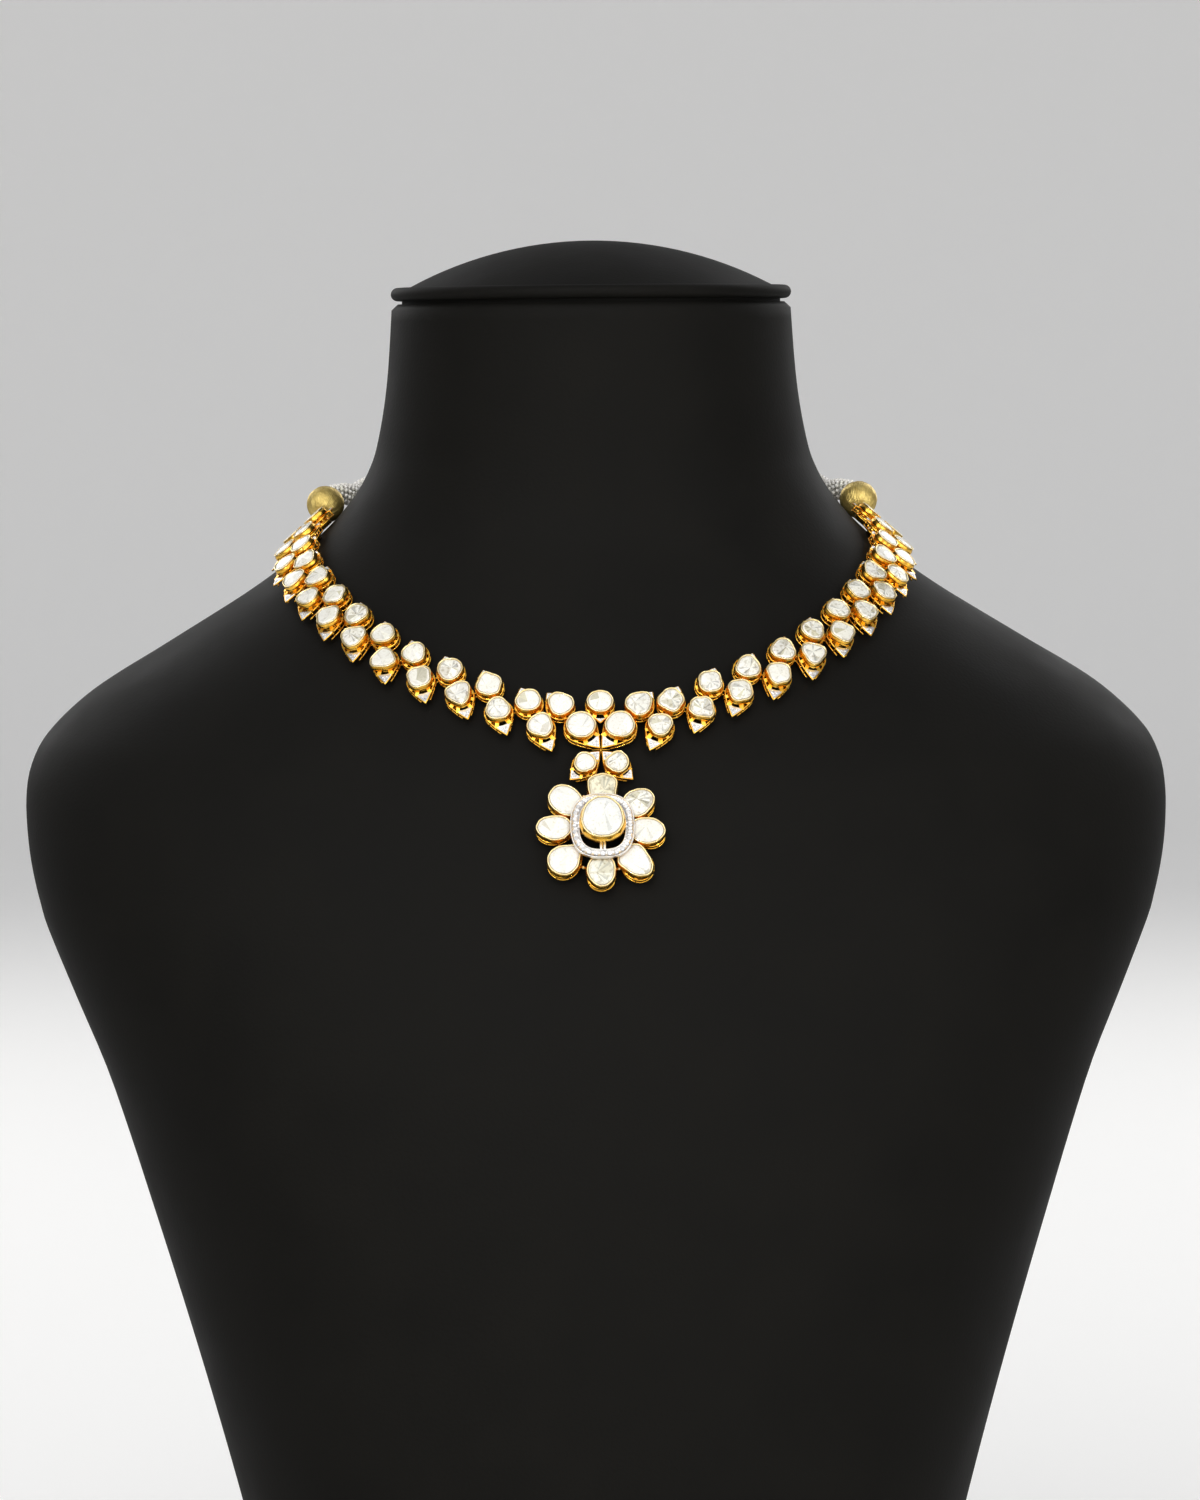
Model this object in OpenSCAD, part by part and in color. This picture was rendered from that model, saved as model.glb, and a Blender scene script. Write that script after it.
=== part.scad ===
// Polki necklace on the plain neck bust that displays it, in millimetres.
// The bust stands on z = 0 with the middle of its flat base at the origin, and its chest faces -Y.
// The necklace is a closed loop: a crest with a flower pendant in front, twelve two-drop links
// a side, and behind the neck two ropes of seed pearls that meet in a barrel clasp.

/* [Neck bust] */
// Height from the flat base to the top edge of the neck
bust_h = 395; // [375:1:415]
// Width of the neck at its top edge
neck_w = 109; // [103:0.5:115]
// Depth of the neck at its top edge
neck_d = 109; // [103:0.5:115]
// Width across the shoulders
shoulder_w = 308; // [292:1:324]
// Greatest depth of the torso
torso_d = 181; // [172:1:190]
// How far the neck's axis stands behind the middle of the base
neck_back = 69; // [62:1:76]
// Bevel round the foot of the bust
base_bevel = 3; // [1:0.5:6]
// Width of the domed cap on the neck
cap_w = 109.5; // [100:0.5:116]
// Height of the cap, its shadow joint included
cap_h = 17; // [12:0.5:22]
// Thickness of the cap's rolled rim
cap_rim = 3.6; // [2:0.1:5]
// Height of the recessed joint under the cap
cap_joint = 0.9; // [0.4:0.1:2]
// Depth of that joint, from the rim inward
joint_in = 3; // [1:0.5:6]

/* [Chain of links] */
// Distance between the two drops of a link, stone to stone
drop_spacing = 8; // [7.95:0.05:8.3]
// Distance between the nearest drops of two links, stone to stone
link_apart = 8; // [7.95:0.05:8.2]
// Width of a drop's frame
drop_w = 7.7; // [7.4:0.05:7.75]
// From the middle of a lower drop's stone to the tip of its frame
lower_tip = 7.4; // [6.6:0.1:8]
// From the middle of an upper drop's stone to the tip of its frame
upper_tip = 5.7; // [5.2:0.1:6.2]
// Lean of a link's two drops from the run of the chain, in degrees
slant = 44; // [42:0.5:47]
// Lean of the first link's drops, beside the crest
first_slant = 51; // [47:0.5:54]
// Length of a link's stones, towards the tip
stone_l = 7; // [6.4:0.1:7.1]
// Width of a link's stones
stone_w = 6.7; // [6.1:0.1:6.8]

/* [Gold frames] */
// Clear space between a seat and what lies on it
seat_gap = 0.3; // [0.2:0.05:0.5]
// Width of a frame's rails
rail_w = 0.45; // [0.35:0.05:0.5]
// Height of a frame's rails
rail_h = 0.45; // [0.35:0.05:0.5]
// Height of the lower rail's underside over the back of the piece
low_rail = 0.95; // [0.9:0.05:1.1]
// Height of the upper rail's underside over the back of the piece
top_rail = 2.4; // [2.35:0.05:2.8]
// Height of the cups' rims over the back of the piece
cup_top = 4.9; // [4.5:0.1:5.4]
// Wall of a stone's cup
cup_wall = 0.32; // [0.25:0.01:0.4]
// Depth of the pocket that holds the stone
pocket = 1.5; // [1.2:0.1:1.7]
// Clearance round a stone in its pocket
stone_play = 0.06; // [0.04:0.01:0.1]
// Outside diameter of the round foot under a cup
foot_d = 5.1; // [4.4:0.1:5.2]
// Wall of the foot
foot_wall = 0.4; // [0.3:0.05:0.6]
// Width of the ribs between foot and rails
rib_w = 0.6; // [0.4:0.05:0.8]
// Thickness of the diamond-set plates at the tips
plate_h = 0.65; // [0.5:0.05:0.8]
// Rise of a stone's table over its rim
crown_h = 0.42; // [0.3:0.02:0.6]
// Rise of a stone's rim over its cup
stone_proud = -0.1; // [-0.2:0.05:0.1]
// Thickness of the jump rings' wire
ring_wire = 0.34; // [0.3:0.02:0.36]
// Clearance between a jump ring and the rails that it holds
ring_play = 0.15; // [0.12:0.01:0.18]

/* [Crest] */
// Distance of the two large side stones from the middle
crest_side = 5.1; // [5.05:0.05:5.4]
// Height of the top stone over the side stones
crest_rise = 6.85; // [6.7:0.05:7.3]
// Width of the side drops' frames
crest_w = 8.8; // [8.6:0.1:8.9]
// From a side stone to where the two tips meet
crest_tip = 7.8; // [7.4:0.1:7.9]
// Length of the side stones
crest_stone_l = 7.8; // [7.2:0.1:7.8]
// Width of the side stones
crest_stone_w = 7.5; // [7:0.1:7.5]
// Width of the top stone
crown_stone_w = 6.8; // [6:0.1:6.9]
// Lean of the outer drops of the crest, in degrees
crest_slant = 51; // [50:0.5:54]
// Length of the top drop from its stone to its tip
crown_tip = 5.6; // [5:0.1:6]

/* [Connector] */
// Distance down the chest from the crest's side stones to the connector's stones
connector_drop = 11.2; // [11.1:0.05:11.5]
// Length of each of its two leaves
leaf_l = 11.5; // [11:0.1:11.7]
// Width of each leaf
leaf_w = 6.8; // [6.4:0.1:7]
// Distance of a leaf's middle from the middle line
leaf_out = 4.15; // [4.1:0.05:4.3]
// Diameter of a leaf's stone
leaf_stone = 5.8; // [5.2:0.1:5.9]

/* [Flower pendant] */
// Distance down the chest from the crest's side stones to the flower's middle
flower_drop = 29; // [28.8:0.05:29.4]
// Radius of the circle through the petals' stones
petal_r = 11.9; // [11.7:0.1:12.2]
// Length of a petal's stone
petal_l = 9; // [8.4:0.1:9.2]
// Width of a petal's stone
petal_w = 7; // [6.3:0.1:7.1]
// Width of the diamond ring over the petals
halo_w = 16.3; // [15.8:0.1:16.7]
// Height of the diamond ring
halo_l = 17.6; // [17:0.1:18]
// Width of its band
halo_band = 2.4; // [2:0.1:2.5]
// Thickness of its band
halo_h = 1.5; // [1.2:0.1:1.8]
// Clear space between the petals' stones and the diamond ring over them
halo_gap = 0.1; // [0.1:0.05:0.3]
// Height of the middle stone's cup over the diamond ring
heart_rise = 3.7; // [3:0.1:4.4]
// Length of the middle stone
heart_l = 10.4; // [9.9:0.1:10.6]
// Width of the middle stone
heart_w = 9.9; // [9.3:0.1:10.1]

/* [Beads and rope] */
// Diameter of the thread-wound beads at the ends of the chain
bead_d = 10.5; // [9.5:0.1:11]
// Thickness of the cord through a bead
cord_d = 1.4; // [1:0.1:1.6]
// Clearance between that cord and the bead's bore
bore_play = 0.15; // [0.1:0.01:0.25]
// Inside diameter of the cord's eye
eye_d = 1.8; // [1.6:0.1:2.2]
// Length of cord that shows between eye and bead
cord_show = 1; // [0.6:0.1:2]
// Thickness of the rope of seed pearls
rope_d = 6.4; // [5.6:0.1:7]
// Clear space where rope, bead and clasp meet end to end
rope_gap = 0.15; // [0.1:0.05:0.3]
// Length of the barrel clasp
clasp_l = 13; // [10:0.5:18]
// Diameter of the barrel clasp
clasp_d = 5.6; // [5:0.1:6.4]

/* [Hidden] */
LINKS = 12;
LINK_NAMES = ["01", "02", "03", "04", "05", "06", "07", "08", "09", "10", "11", "12"];
PETALS = 8;

GOLD = [0.93, 0.64, 0.16];
POLKI = [0.93, 0.92, 0.84];
PEARL = [0.93, 0.90, 0.82];
LEATHER = [0.05, 0.05, 0.05];

// Sections of the bust from the neck down. Columns: depth below the neck's edge as a share of
// bust_h, then how far the width, the depth and the middle have gone from the neck's value (0)
// to the shoulders', the torso's or the base's (1), and the squareness of the oval.
DROP = 0;
WIDE = 1;
DEEP = 2;
FORWARD = 3;
SQUARE = 4;
body = [
  [0.000, 0.000, 0.000, 0.000, 2.00],
  [0.063, 0.021, 0.014, 0.000, 2.00],
  [0.114, 0.068, 0.048, 0.000, 2.00],
  [0.152, 0.176, 0.097, 0.014, 2.00],
  [0.190, 0.362, 0.250, 0.051, 1.95],
  [0.228, 0.603, 0.417, 0.109, 1.95],
  [0.266, 0.844, 0.569, 0.174, 2.00],
  [0.304, 0.980, 0.715, 0.243, 2.10],
  [0.354, 1.000, 0.847, 0.333, 2.20],
  [0.418, 0.940, 0.958, 0.449, 2.25],
  [0.506, 0.784, 1.000, 0.587, 2.30],
  [0.608, 0.643, 0.958, 0.710, 2.35],
  [0.734, 0.487, 0.847, 0.826, 2.40],
  [0.861, 0.352, 0.694, 0.920, 2.40],
  [1.000, 0.236, 0.514, 1.000, 2.40]];

// Bands of the bust's mesh: from and to as shares of bust_h above the base, and rings in each
bands = [[0.00, 0.58, 13], [0.58, 0.70, 7], [0.70, 0.90, 16], [0.90, 0.99, 4]];
SIDES = 56;

// Chosen points of the chain's route round the neck: degrees from the front, depth below the
// neck's edge as a share of bust_h
route = [[0, 0.276], [6.5, 0.2735], [11.8, 0.262], [23, 0.2425], [36, 0.219], [51.3, 0.197], [69.5, 0.178],
         [88, 0.1615], [100, 0.1465], [120, 0.128], [150, 0.118], [180, 0.115]];
ROUTE_STEP = 2;
// Depth of the crest's side stones below the neck's edge, as a share of bust_h
crest_at = 0.2805;

// Cuts of the stones. Columns: length and width as shares of the named stone, corners,
// degrees of turn, how much the tip end narrows, and how round the corners are
LONG = 0;
BROAD = 1;
CORNERS = 2;
TURN = 3;
TAPER = 4;
SOFT = 5;
cuts = [
  [1.00, 1.00, 6, 10, 0.10, 0.35],
  [1.02, 1.00, 5, 0, 0.16, 0.30],
  [0.94, 1.02, 3, 60, 0.02, 0.55],
  [0.98, 0.96, 6, 30, 0.04, 0.45],
  [0.90, 1.00, 5, 36, -0.08, 0.40],
  [1.03, 0.97, 3, 0, 0.05, 0.60],
  [0.95, 0.95, 7, 12, 0.00, 0.50],
  [1.00, 1.02, 4, 40, 0.12, 0.55]];
left_upper_cuts = [2, 1, 0, 6, 4, 0, 3, 5, 1, 3, 6, 0];
left_lower_cuts = [1, 3, 5, 0, 2, 7, 1, 4, 5, 0, 3, 6];
right_upper_cuts = [1, 3, 5, 0, 6, 4, 3, 1, 0, 3, 6, 4];
right_lower_cuts = [6, 2, 0, 1, 5, 7, 5, 0, 3, 1, 4, 6];
// Petals from the top one clockwise. Columns: radius, length and width as shares of the named
// sizes, the row of its cut, and degrees from its even place, clockwise
petals = [[0.93, 0.84, 1.00, 1, 1], [0.97, 0.94, 1.00, 3, 8], [0.96, 0.98, 0.96, 0, 4],
          [1.05, 1.02, 1.02, 5, 2], [0.96, 0.98, 1.02, 6, 2], [1.06, 1.02, 1.02, 2, 4],
          [1.02, 1.02, 0.94, 6, 1], [1.02, 0.98, 1.00, 7, -5]];
HALO_SQUARE = 2.7;
GEM_SIDES = 12;
TABLE = 0.62;

drop_r = drop_w / 2;
foot_r = foot_d / 2;
rail_mid = low_rail + rail_h / 2;
plate_top = top_rail + plate_h;
cup_floor = cup_top - pocket;
cup_base = top_rail + 0.1;
bar_apart = rail_w + link_apart - drop_w;
ring_r = bar_apart / 2 + rail_w / 2 + ring_play + ring_wire / 2;
bead_r = bead_d / 2;
rope_r = rope_d / 2;
bead_over = bead_r + seat_gap;
rope_over = rope_r + seat_gap;
leaf_turn = -46;
leaf_up = 0.45;
halo_base = cup_top + stone_proud + crown_h + halo_gap;
heart_top = halo_base + halo_h + heart_rise;
heart_floor = heart_top - pocket;
ROUND = 24;

// Vectors and frames. A frame is [origin, x axis, y axis, outward axis]
function unit(v) = v / norm(v);
function along(v, w) = unit(v - (v * w) * w);
function at(f, p) = f[0] + p[0] * f[1] + p[1] * f[2] + p[2] * f[3];
function raised(f, d) = [f[0] + d * f[3], f[1], f[2], f[3]];
module place(f)
  multmatrix([for (r = [0:2]) [f[1][r], f[2][r], f[3][r], f[0][r]]]) children();

// Smooth curve through one column of a table whose first column rises
function row_of(t, x, i = 0) = i >= len(t) - 2 || x < t[i + 1][0] ? i : row_of(t, x, i + 1);
function slope(t, i, c) =
  let (a = max(i - 1, 0), b = min(i + 1, len(t) - 1)) (t[b][c] - t[a][c]) / (t[b][0] - t[a][0]);
function smooth(t, x, c) =
  let (i = row_of(t, x), h = t[i + 1][0] - t[i][0], u = (x - t[i][0]) / h)
  (2 * u ^ 3 - 3 * u ^ 2 + 1) * t[i][c] + (u ^ 3 - 2 * u ^ 2 + u) * h * slope(t, i, c)
  + (3 * u ^ 2 - 2 * u ^ 3) * t[i + 1][c] + (u ^ 3 - u ^ 2) * h * slope(t, i + 1, c);

// The bust's skin: its oval at a height, a point of it, and how far a point stands off it
function oval(z) =
  let (s = min(max(1 - z / bust_h, 0), 1))
  [neck_w / 2 + smooth(body, s, WIDE) * (shoulder_w - neck_w) / 2,
   neck_d / 2 + smooth(body, s, DEEP) * (torso_d - neck_d) / 2,
   neck_back * (1 - smooth(body, s, FORWARD)), smooth(body, s, SQUARE)];
function bow(v, n) = sign(v) * abs(v) ^ (2 / n);
function skin(a, z) =
  let (o = oval(z)) [o[0] * bow(cos(a), o[3]), o[2] + o[1] * bow(sin(a), o[3]), z];
function beyond(p) =
  let (o = oval(p[2]), x = p[0], y = p[1] - o[2],
       g = (abs(x / o[0]) ^ o[3] + abs(y / o[1]) ^ o[3]) ^ (1 / o[3]))
  norm([x, y]) * (1 - 1 / g);
PROBE = 0.05;
function climb(p) =
  [for (e = [[PROBE, 0, 0], [0, PROBE, 0], [0, 0, PROBE]]) (beyond(p + e) - beyond(p - e)) / (2 * PROBE)];
function outward(p) = unit(climb(p));
function off_skin(p) = beyond(p) / norm(climb(p));

// Frame on the skin at p whose x axis runs along v, lifted until every probe clears the seat
function on_skin(p, v) = let (w = outward(p), x = along(v, w)) [p, x, cross(w, x), w];
function seated(f, probes) = raised(f, seat_gap - min([for (q = probes) off_skin(at(f, q))]));
function feet(centres, r, z) = [for (c = centres, a = [0:45:315]) [c[0] + r * cos(a), c[1] + r * sin(a), z]];

// The route round the right side, by degrees and by length from the front
function on_route(a) = skin(a - 90, bust_h * (1 - smooth(route, a, 1)));
path = [for (a = 0, p = on_route(0), s = 0; a <= 180;
             a = a + ROUTE_STEP, q = on_route(a), s = s + norm(q - p), p = q) [s, a]];
function angle_at(s) = lookup(s, path);
function run_at(a) = on_route(a + 1) - on_route(a - 1);
half_loop = path[len(path) - 1][0];

// Places of the front pieces, down the middle of the chest
function chest(z) = on_skin(skin(-90, z), [1, 0, 0]);
function down(z, d, n = 4) = n == 0 ? z : down(z - d / n * chest(z)[2][2], d * (n - 1) / n, n - 1);
crest_z = bust_h * (1 - crest_at);
outer_at = [crest_side + drop_spacing * cos(crest_slant), drop_spacing * sin(crest_slant)];
crest_f = seated(chest(crest_z), feet([[0, crest_rise], [crest_side, 0], outer_at], foot_r, 0));
connector_f = seated(chest(down(crest_z, connector_drop)), feet([[leaf_out, 0]], foot_r, 0));
flower_f = seated(chest(down(crest_z, flower_drop)),
                  feet([for (i = [0:2:6]) petal_r * [cos(45 * i), sin(45 * i)]], foot_r, 0));

// Places of the links of the right side. Link 0 stands for the outer pair of the crest
chain_from = lookup((crest_side + outer_at[0]) / 2,
                    [for (r = path) if (r[1] <= 30) [on_route(r[1])[0], r[0]]]);
function lean(k) = k == 1 ? first_slant : slant;
function drop_at(k) = drop_spacing / 2 * [cos(lean(k)), sin(lean(k))];
function link_feet(c) = concat(feet([c, -c], foot_r, 0), feet([c, -c], drop_r, low_rail));
link_step = 2 * drop_at(0)[0] + sqrt(link_apart ^ 2 - 4 * drop_at(0)[1] ^ 2);
function loose(s) = let (a = angle_at(s)) raised(on_skin(on_route(a), run_at(a)), seat_gap);
function stone_of(f, c) = at(f, [c[0], c[1], rail_mid]);

// Each link lies where its lower drop is link_apart from the upper drop of the one before
function next_to(p, s, k, n = 5) =
  n == 0 ? s : next_to(p, s + 1.3 * (link_apart - norm(stone_of(loose(s), -drop_at(k)) - p)), k, n - 1);
link_s = [for (k = 0, s = chain_from, p = stone_of(crest_f, outer_at); k <= LINKS;
               k = k + 1, s = next_to(p, s + link_step, k), p = stone_of(loose(s), drop_at(k))) s];
link_f = [for (k = [0:LINKS]) seated(loose(link_s[k]), link_feet(drop_at(k)))];

// Beads and rope
bead_s = link_s[LINKS] + (link_step + eye_d) / 2 + cord_d + cord_show + bead_r;
SETTLE = 16;
function rope_rise(s) = (bead_over - rope_over) * max(1 - (s - bead_s) / SETTLE, 0) ^ 2 + rope_over;
function rope_at(s) = let (p = on_route(angle_at(s))) p + rope_rise(s) * outward(p);
bead_at = rope_at(bead_s);

module mirrored() { mirror([1, 0, 0]) children(); }

// Outline of a stone with its tip end on +x: a rounded polygon, fitted to its length and width
BLUNT = 0.9;
function gem_shape(c) =
  [for (i = [0:GEM_SIDES - 1])
    let (a = 360 * i / GEM_SIDES, half = 180 / c[CORNERS],
         b = (a + c[TURN]) % (2 * half) - half,
         r = min(c[SOFT] + (1 - c[SOFT]) * cos(half) / cos(b), BLUNT))
    r * [cos(a), sin(a) * (1 - c[TAPER] * cos(a))]];
function fit(v, size) =
  let (top = max(v), low = min(v)) [for (x = v) size * (x - (top + low) / 2) / (top - low)];
function gem(c, l, w) =
  let (p = gem_shape(c), x = fit([for (q = p) q[0]], c[LONG] * l), y = fit([for (q = p) q[1]], c[BROAD] * w))
  [for (i = [0:GEM_SIDES - 1]) [x[i], y[i]]];

// One cut stone: flat back, upright edge, sloping facets and a table
module stone(c, l, w, top) {
  edge = gem(c, l, w);
  n = len(edge);
  low = top - pocket + stone_play;
  high = top + stone_proud;
  color(POLKI)
    polyhedron(concat([for (p = edge) [p[0], p[1], low]], [for (p = edge) [p[0], p[1], high]],
                      [for (p = edge) [TABLE * p[0], TABLE * p[1], high + crown_h]]),
               concat([[for (i = [0:n - 1]) i]],
                      [for (k = [0, n], i = [0:n - 1])
                        [k + i, k + n + i, k + n + (i + 1) % n, k + (i + 1) % n]],
                      [[for (i = [n - 1:-1:0]) 2 * n + i]]));
}

// The cup round a stone, on a round open foot
module cup(c, l, w, top, base, r) {
  grow = 2 * (stone_play + cup_wall);
  difference() {
    union() {
      translate([0, 0, base]) linear_extrude(top - base) polygon(gem(c, l + grow, w + grow));
      cylinder(r = r, h = base + rail_h, $fn = ROUND);
    }
    translate([0, 0, top - pocket])
      linear_extrude(pocket + 1) polygon(gem(c, l + 2 * stone_play, w + 2 * stone_play));
    translate([0, 0, -1]) cylinder(r = r - foot_wall, h = top - pocket - foot_wall + 1, $fn = ROUND);
  }
}

// Outlines of the frames. A drop is a circle drawn out to a tip on +x, a leaf has a tip each way
BULGE = 7.5;
TIP_WALL = 1.6;
function to_tip(r, tip) =
  let (a = -acos(r / tip) - BULGE, p = r * [cos(a), sin(a)], q = [tip, 0],
       c = p + norm(q - p) / 2 * [-sin(a), cos(a)])
  [for (u = [0:0.25:0.75]) (1 - u) ^ 2 * p + 2 * u * (1 - u) * c + u ^ 2 * q];
function point_of(r, tip) =
  let (s = to_tip(r, tip)) concat(s, [[tip, 0]], [for (i = [len(s) - 1:-1:0]) [s[i][0], -s[i][1]]]);
function petal_edge(l, w) = [for (a = [0:22.5:359]) [l / 2 * cos(a), w / 2 * sin(a) * (1 + 0.1 * cos(a))]];

module drop_shape(r, tip) {
  circle(r = r, $fn = 2 * ROUND);
  polygon(concat([[0, 0]], point_of(r, tip)));
}

module leaf_shape(r, tip) {
  for (a = [0, 180]) rotate(a) drop_shape(r, tip);
}

// What is left of the first shape outside the second
module wall(z, h) {
  translate([0, 0, z]) linear_extrude(h) difference() {
    children(0);
    children(1);
  }
}

// Ribs from a foot out to the rails, from the middle of the lower rail to that of the upper one
module ribs(angles, r) {
  for (a = angles)
    rotate(a) translate([foot_r - foot_wall / 2, -rib_w / 2, rail_mid])
      cube([r - foot_r + foot_wall / 2, rib_w, top_rail - low_rail]);
}

// Solder between two frames: a block round the origin, long in x
module solder(l, w) {
  translate([-l / 2, -w / 2, low_rail]) cube([l, w, top_rail + rail_h - low_rail]);
}

// Frame and cup of one drop, its stone's middle at the origin and its tip on +x
NOTCH = 1.5;
module drop(r, tip, c, l, w) {
  color(GOLD) {
    difference() {
      wall(low_rail, rail_h) {
        drop_shape(r, tip);
        drop_shape(r - rail_w, tip - TIP_WALL * rail_w);
      }
      translate([tip - NOTCH, -r, 0]) cube([2 * NOTCH, 2 * r, top_rail]);
    }
    wall(top_rail, rail_h) {
      drop_shape(r, tip);
      drop_shape(r - rail_w, tip - TIP_WALL * rail_w);
    }
    wall(top_rail, plate_h) {
      drop_shape(r, tip);
      circle(r = max(c[LONG] * l / 2, r) + cup_wall + stone_play, $fn = ROUND);
    }
    ribs([50, 130, 230, 310], r - rail_w / 2);
    cup(c, l, w, cup_top, cup_base, foot_r);
  }
}

// A two-drop link, both stones on the line that leans from the run of the chain
module on_upper(k) { rotate(lean(k)) translate([drop_spacing / 2, 0, 0]) children(); }
module on_lower(k) { rotate(180) on_upper(k) children(); }

module link(k, upper, lower) {
  on_upper(k) drop(drop_r, upper_tip, upper, stone_l, stone_w);
  on_lower(k) drop(drop_r, lower_tip, lower, stone_l, stone_w);
  color(GOLD) rotate(lean(k)) solder(drop_spacing - drop_w + 2 * rail_w, 3 * rail_w);
}

// Crest: one top drop, two large side drops tip to tip, two outer drops
tip_apart = 0.15;
crest_tip_y = -sqrt(crest_tip ^ 2 - (crest_side - tip_apart) ^ 2);
crest_turn = 180 + atan2(-crest_tip_y, crest_side - tip_apart);
crest_bar_y = crest_tip_y + rail_w;
CROWN_CUT = 4;
CREST_CUT = [1.02, 1.04, 3, 60, 0.06, 0.6];
OUTER_CUTS = [1, 3];

module on_crown() { translate([0, crest_rise, 0]) rotate(-90) children(); }
module on_side() { translate([crest_side, 0, 0]) rotate(crest_turn) children(); }
module on_outer() { translate([outer_at[0], outer_at[1], 0]) rotate(crest_slant) children(); }

module bar(y, l) {
  translate([-l / 2, y - rail_w / 2, low_rail]) cube([l, rail_w, rail_h]);
}

module crest() {
  on_crown() drop(drop_r, crown_tip, cuts[CROWN_CUT], stone_l, crown_stone_w);
  for (m = [0, 1]) mirror([m, 0, 0]) {
    on_side() drop(crest_w / 2, crest_tip, CREST_CUT, crest_stone_l, crest_stone_w);
    on_outer() drop(drop_r, upper_tip, cuts[OUTER_CUTS[m]], stone_l, stone_w);
    gap = norm([crest_side, crest_rise]) - crest_w / 2 - drop_r;
    color(GOLD) translate([crest_side, 0, 0]) rotate(180 - atan2(crest_rise, crest_side))
      translate([(crest_w + gap) / 2, 0, 0]) solder(gap + 2 * rail_w, 3 * rail_w);
  }
  color(GOLD) {
    translate([-NOTCH / 2, crest_tip_y, top_rail]) cube([NOTCH, NOTCH, plate_h]);
    bar(crest_bar_y, 2 * NOTCH + 4 * rail_w);
  }
}

// Connector: two leaves with a stone each, joined at their inner tips and by two bars
petal_end = petals[0][0] * petal_r + petals[0][1] * petal_l / 2 + rail_w;
function beside(v, side) = v[1] + side * sqrt(bar_apart ^ 2 - (v[2] - rail_mid) ^ 2);
function in_connector(p) = [for (i = [1:3]) (p - connector_f[0]) * connector_f[i]];
top_bar_y = beside(in_connector(stone_of(crest_f, [0, crest_bar_y])), -1);
low_bar_y = beside(in_connector(stone_of(flower_f, [0, petal_end - rail_w / 2])), 1);
leaf_tip_y = leaf_up - leaf_l / 2 * sin(leaf_turn);
LEAF_CUTS = [[1, 1.04, 4, 45, 0.02, 0.45], [1.02, 1, 5, 10, 0.04, 0.45]];
module on_leaf() { translate([leaf_out, leaf_up, 0]) rotate(leaf_turn) children(); }

module leaf(c) {
  r = leaf_w / 2;
  color(GOLD) {
    difference() {
      wall(low_rail, rail_h) {
        leaf_shape(r, leaf_l / 2);
        leaf_shape(r - rail_w, leaf_l / 2 - TIP_WALL * rail_w);
      }
      for (s = [-1, 1])
        translate([s * (leaf_l / 2), 0, top_rail / 2]) cube([2 * NOTCH, leaf_w, top_rail], center = true);
    }
    wall(top_rail, rail_h) {
      leaf_shape(r, leaf_l / 2);
      leaf_shape(r - rail_w, leaf_l / 2 - TIP_WALL * rail_w);
    }
    wall(top_rail, plate_h) {
      leaf_shape(r, leaf_l / 2);
      circle(r = r + stone_play, $fn = ROUND);
    }
    ribs([65, 115, 245, 295], r - rail_w / 2);
    cup(c, leaf_stone, leaf_stone, cup_top, cup_base, leaf_stone * foot_d / stone_w / 2);
  }
}

module pendant_connector() {
  for (m = [0, 1]) mirror([m, 0, 0]) {
    on_leaf() leaf(LEAF_CUTS[m]);
    color(GOLD) {
      translate([NOTCH, leaf_tip_y - 2 * rail_w, low_rail])
        cube([rail_w, top_bar_y + rail_w / 2 - leaf_tip_y + 2 * rail_w, rail_h]);
      translate([NOTCH + rail_w, low_bar_y - rail_w / 2, low_rail])
        cube([rail_w, leaf_up - leaf_w / 4 - low_bar_y, rail_h]);
    }
  }
  color(GOLD) {
    translate([-NOTCH / 2, leaf_tip_y - NOTCH / 2, top_rail]) cube([NOTCH, NOTCH / 2, plate_h]);
    bar(top_bar_y, 2 * (NOTCH + rail_w));
    bar(low_bar_y, 2 * (NOTCH + 2 * rail_w));
  }
}

// Flower: eight petals on a gallery ring, the diamond ring on posts over their inner ends,
// and the middle cup on bars across it
gallery_r = petal_r - petal_l / 2 - rail_w / 2;
post_r = 0.8 * rail_w;
RIB_TURN = 49;
HEART_CUT = [1, 1, 4, 45, 0.08, 0.5];
heart_up = 0.9;
heart_base = halo_base + halo_h / 2;
heart_foot = heart_w * 0.32;
function petal_turn(i) = 90 - 360 / PETALS * i - petals[i % PETALS][4];
module on_petal(i) { rotate(petal_turn(i)) translate([petals[i][0] * petal_r, 0, 0]) children(); }
function halo_edge(l, w) =
  [for (a = [0:360 / 28:359]) [w / 2 * bow(sin(a), HALO_SQUARE), l / 2 * bow(cos(a), HALO_SQUARE)]];

module petal(p) {
  l = p[1] * petal_l;
  w = p[2] * petal_w;
  mid = [l + rail_w, w + rail_w] / 2;
  color(GOLD) {
    for (z = [low_rail, top_rail])
      wall(z, rail_h) {
        polygon(petal_edge(l + 2 * rail_w, w + 2 * rail_w));
        polygon(petal_edge(l, w));
      }
    ribs([for (q = [0, 180], a = [RIB_TURN, 180 - RIB_TURN]) q + a],
         mid[0] * mid[1] / norm([mid[0] * sin(RIB_TURN), mid[1] * cos(RIB_TURN)]));
    cup(cuts[p[3]], l, w, cup_top, cup_base, foot_r);
  }
}

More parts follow.
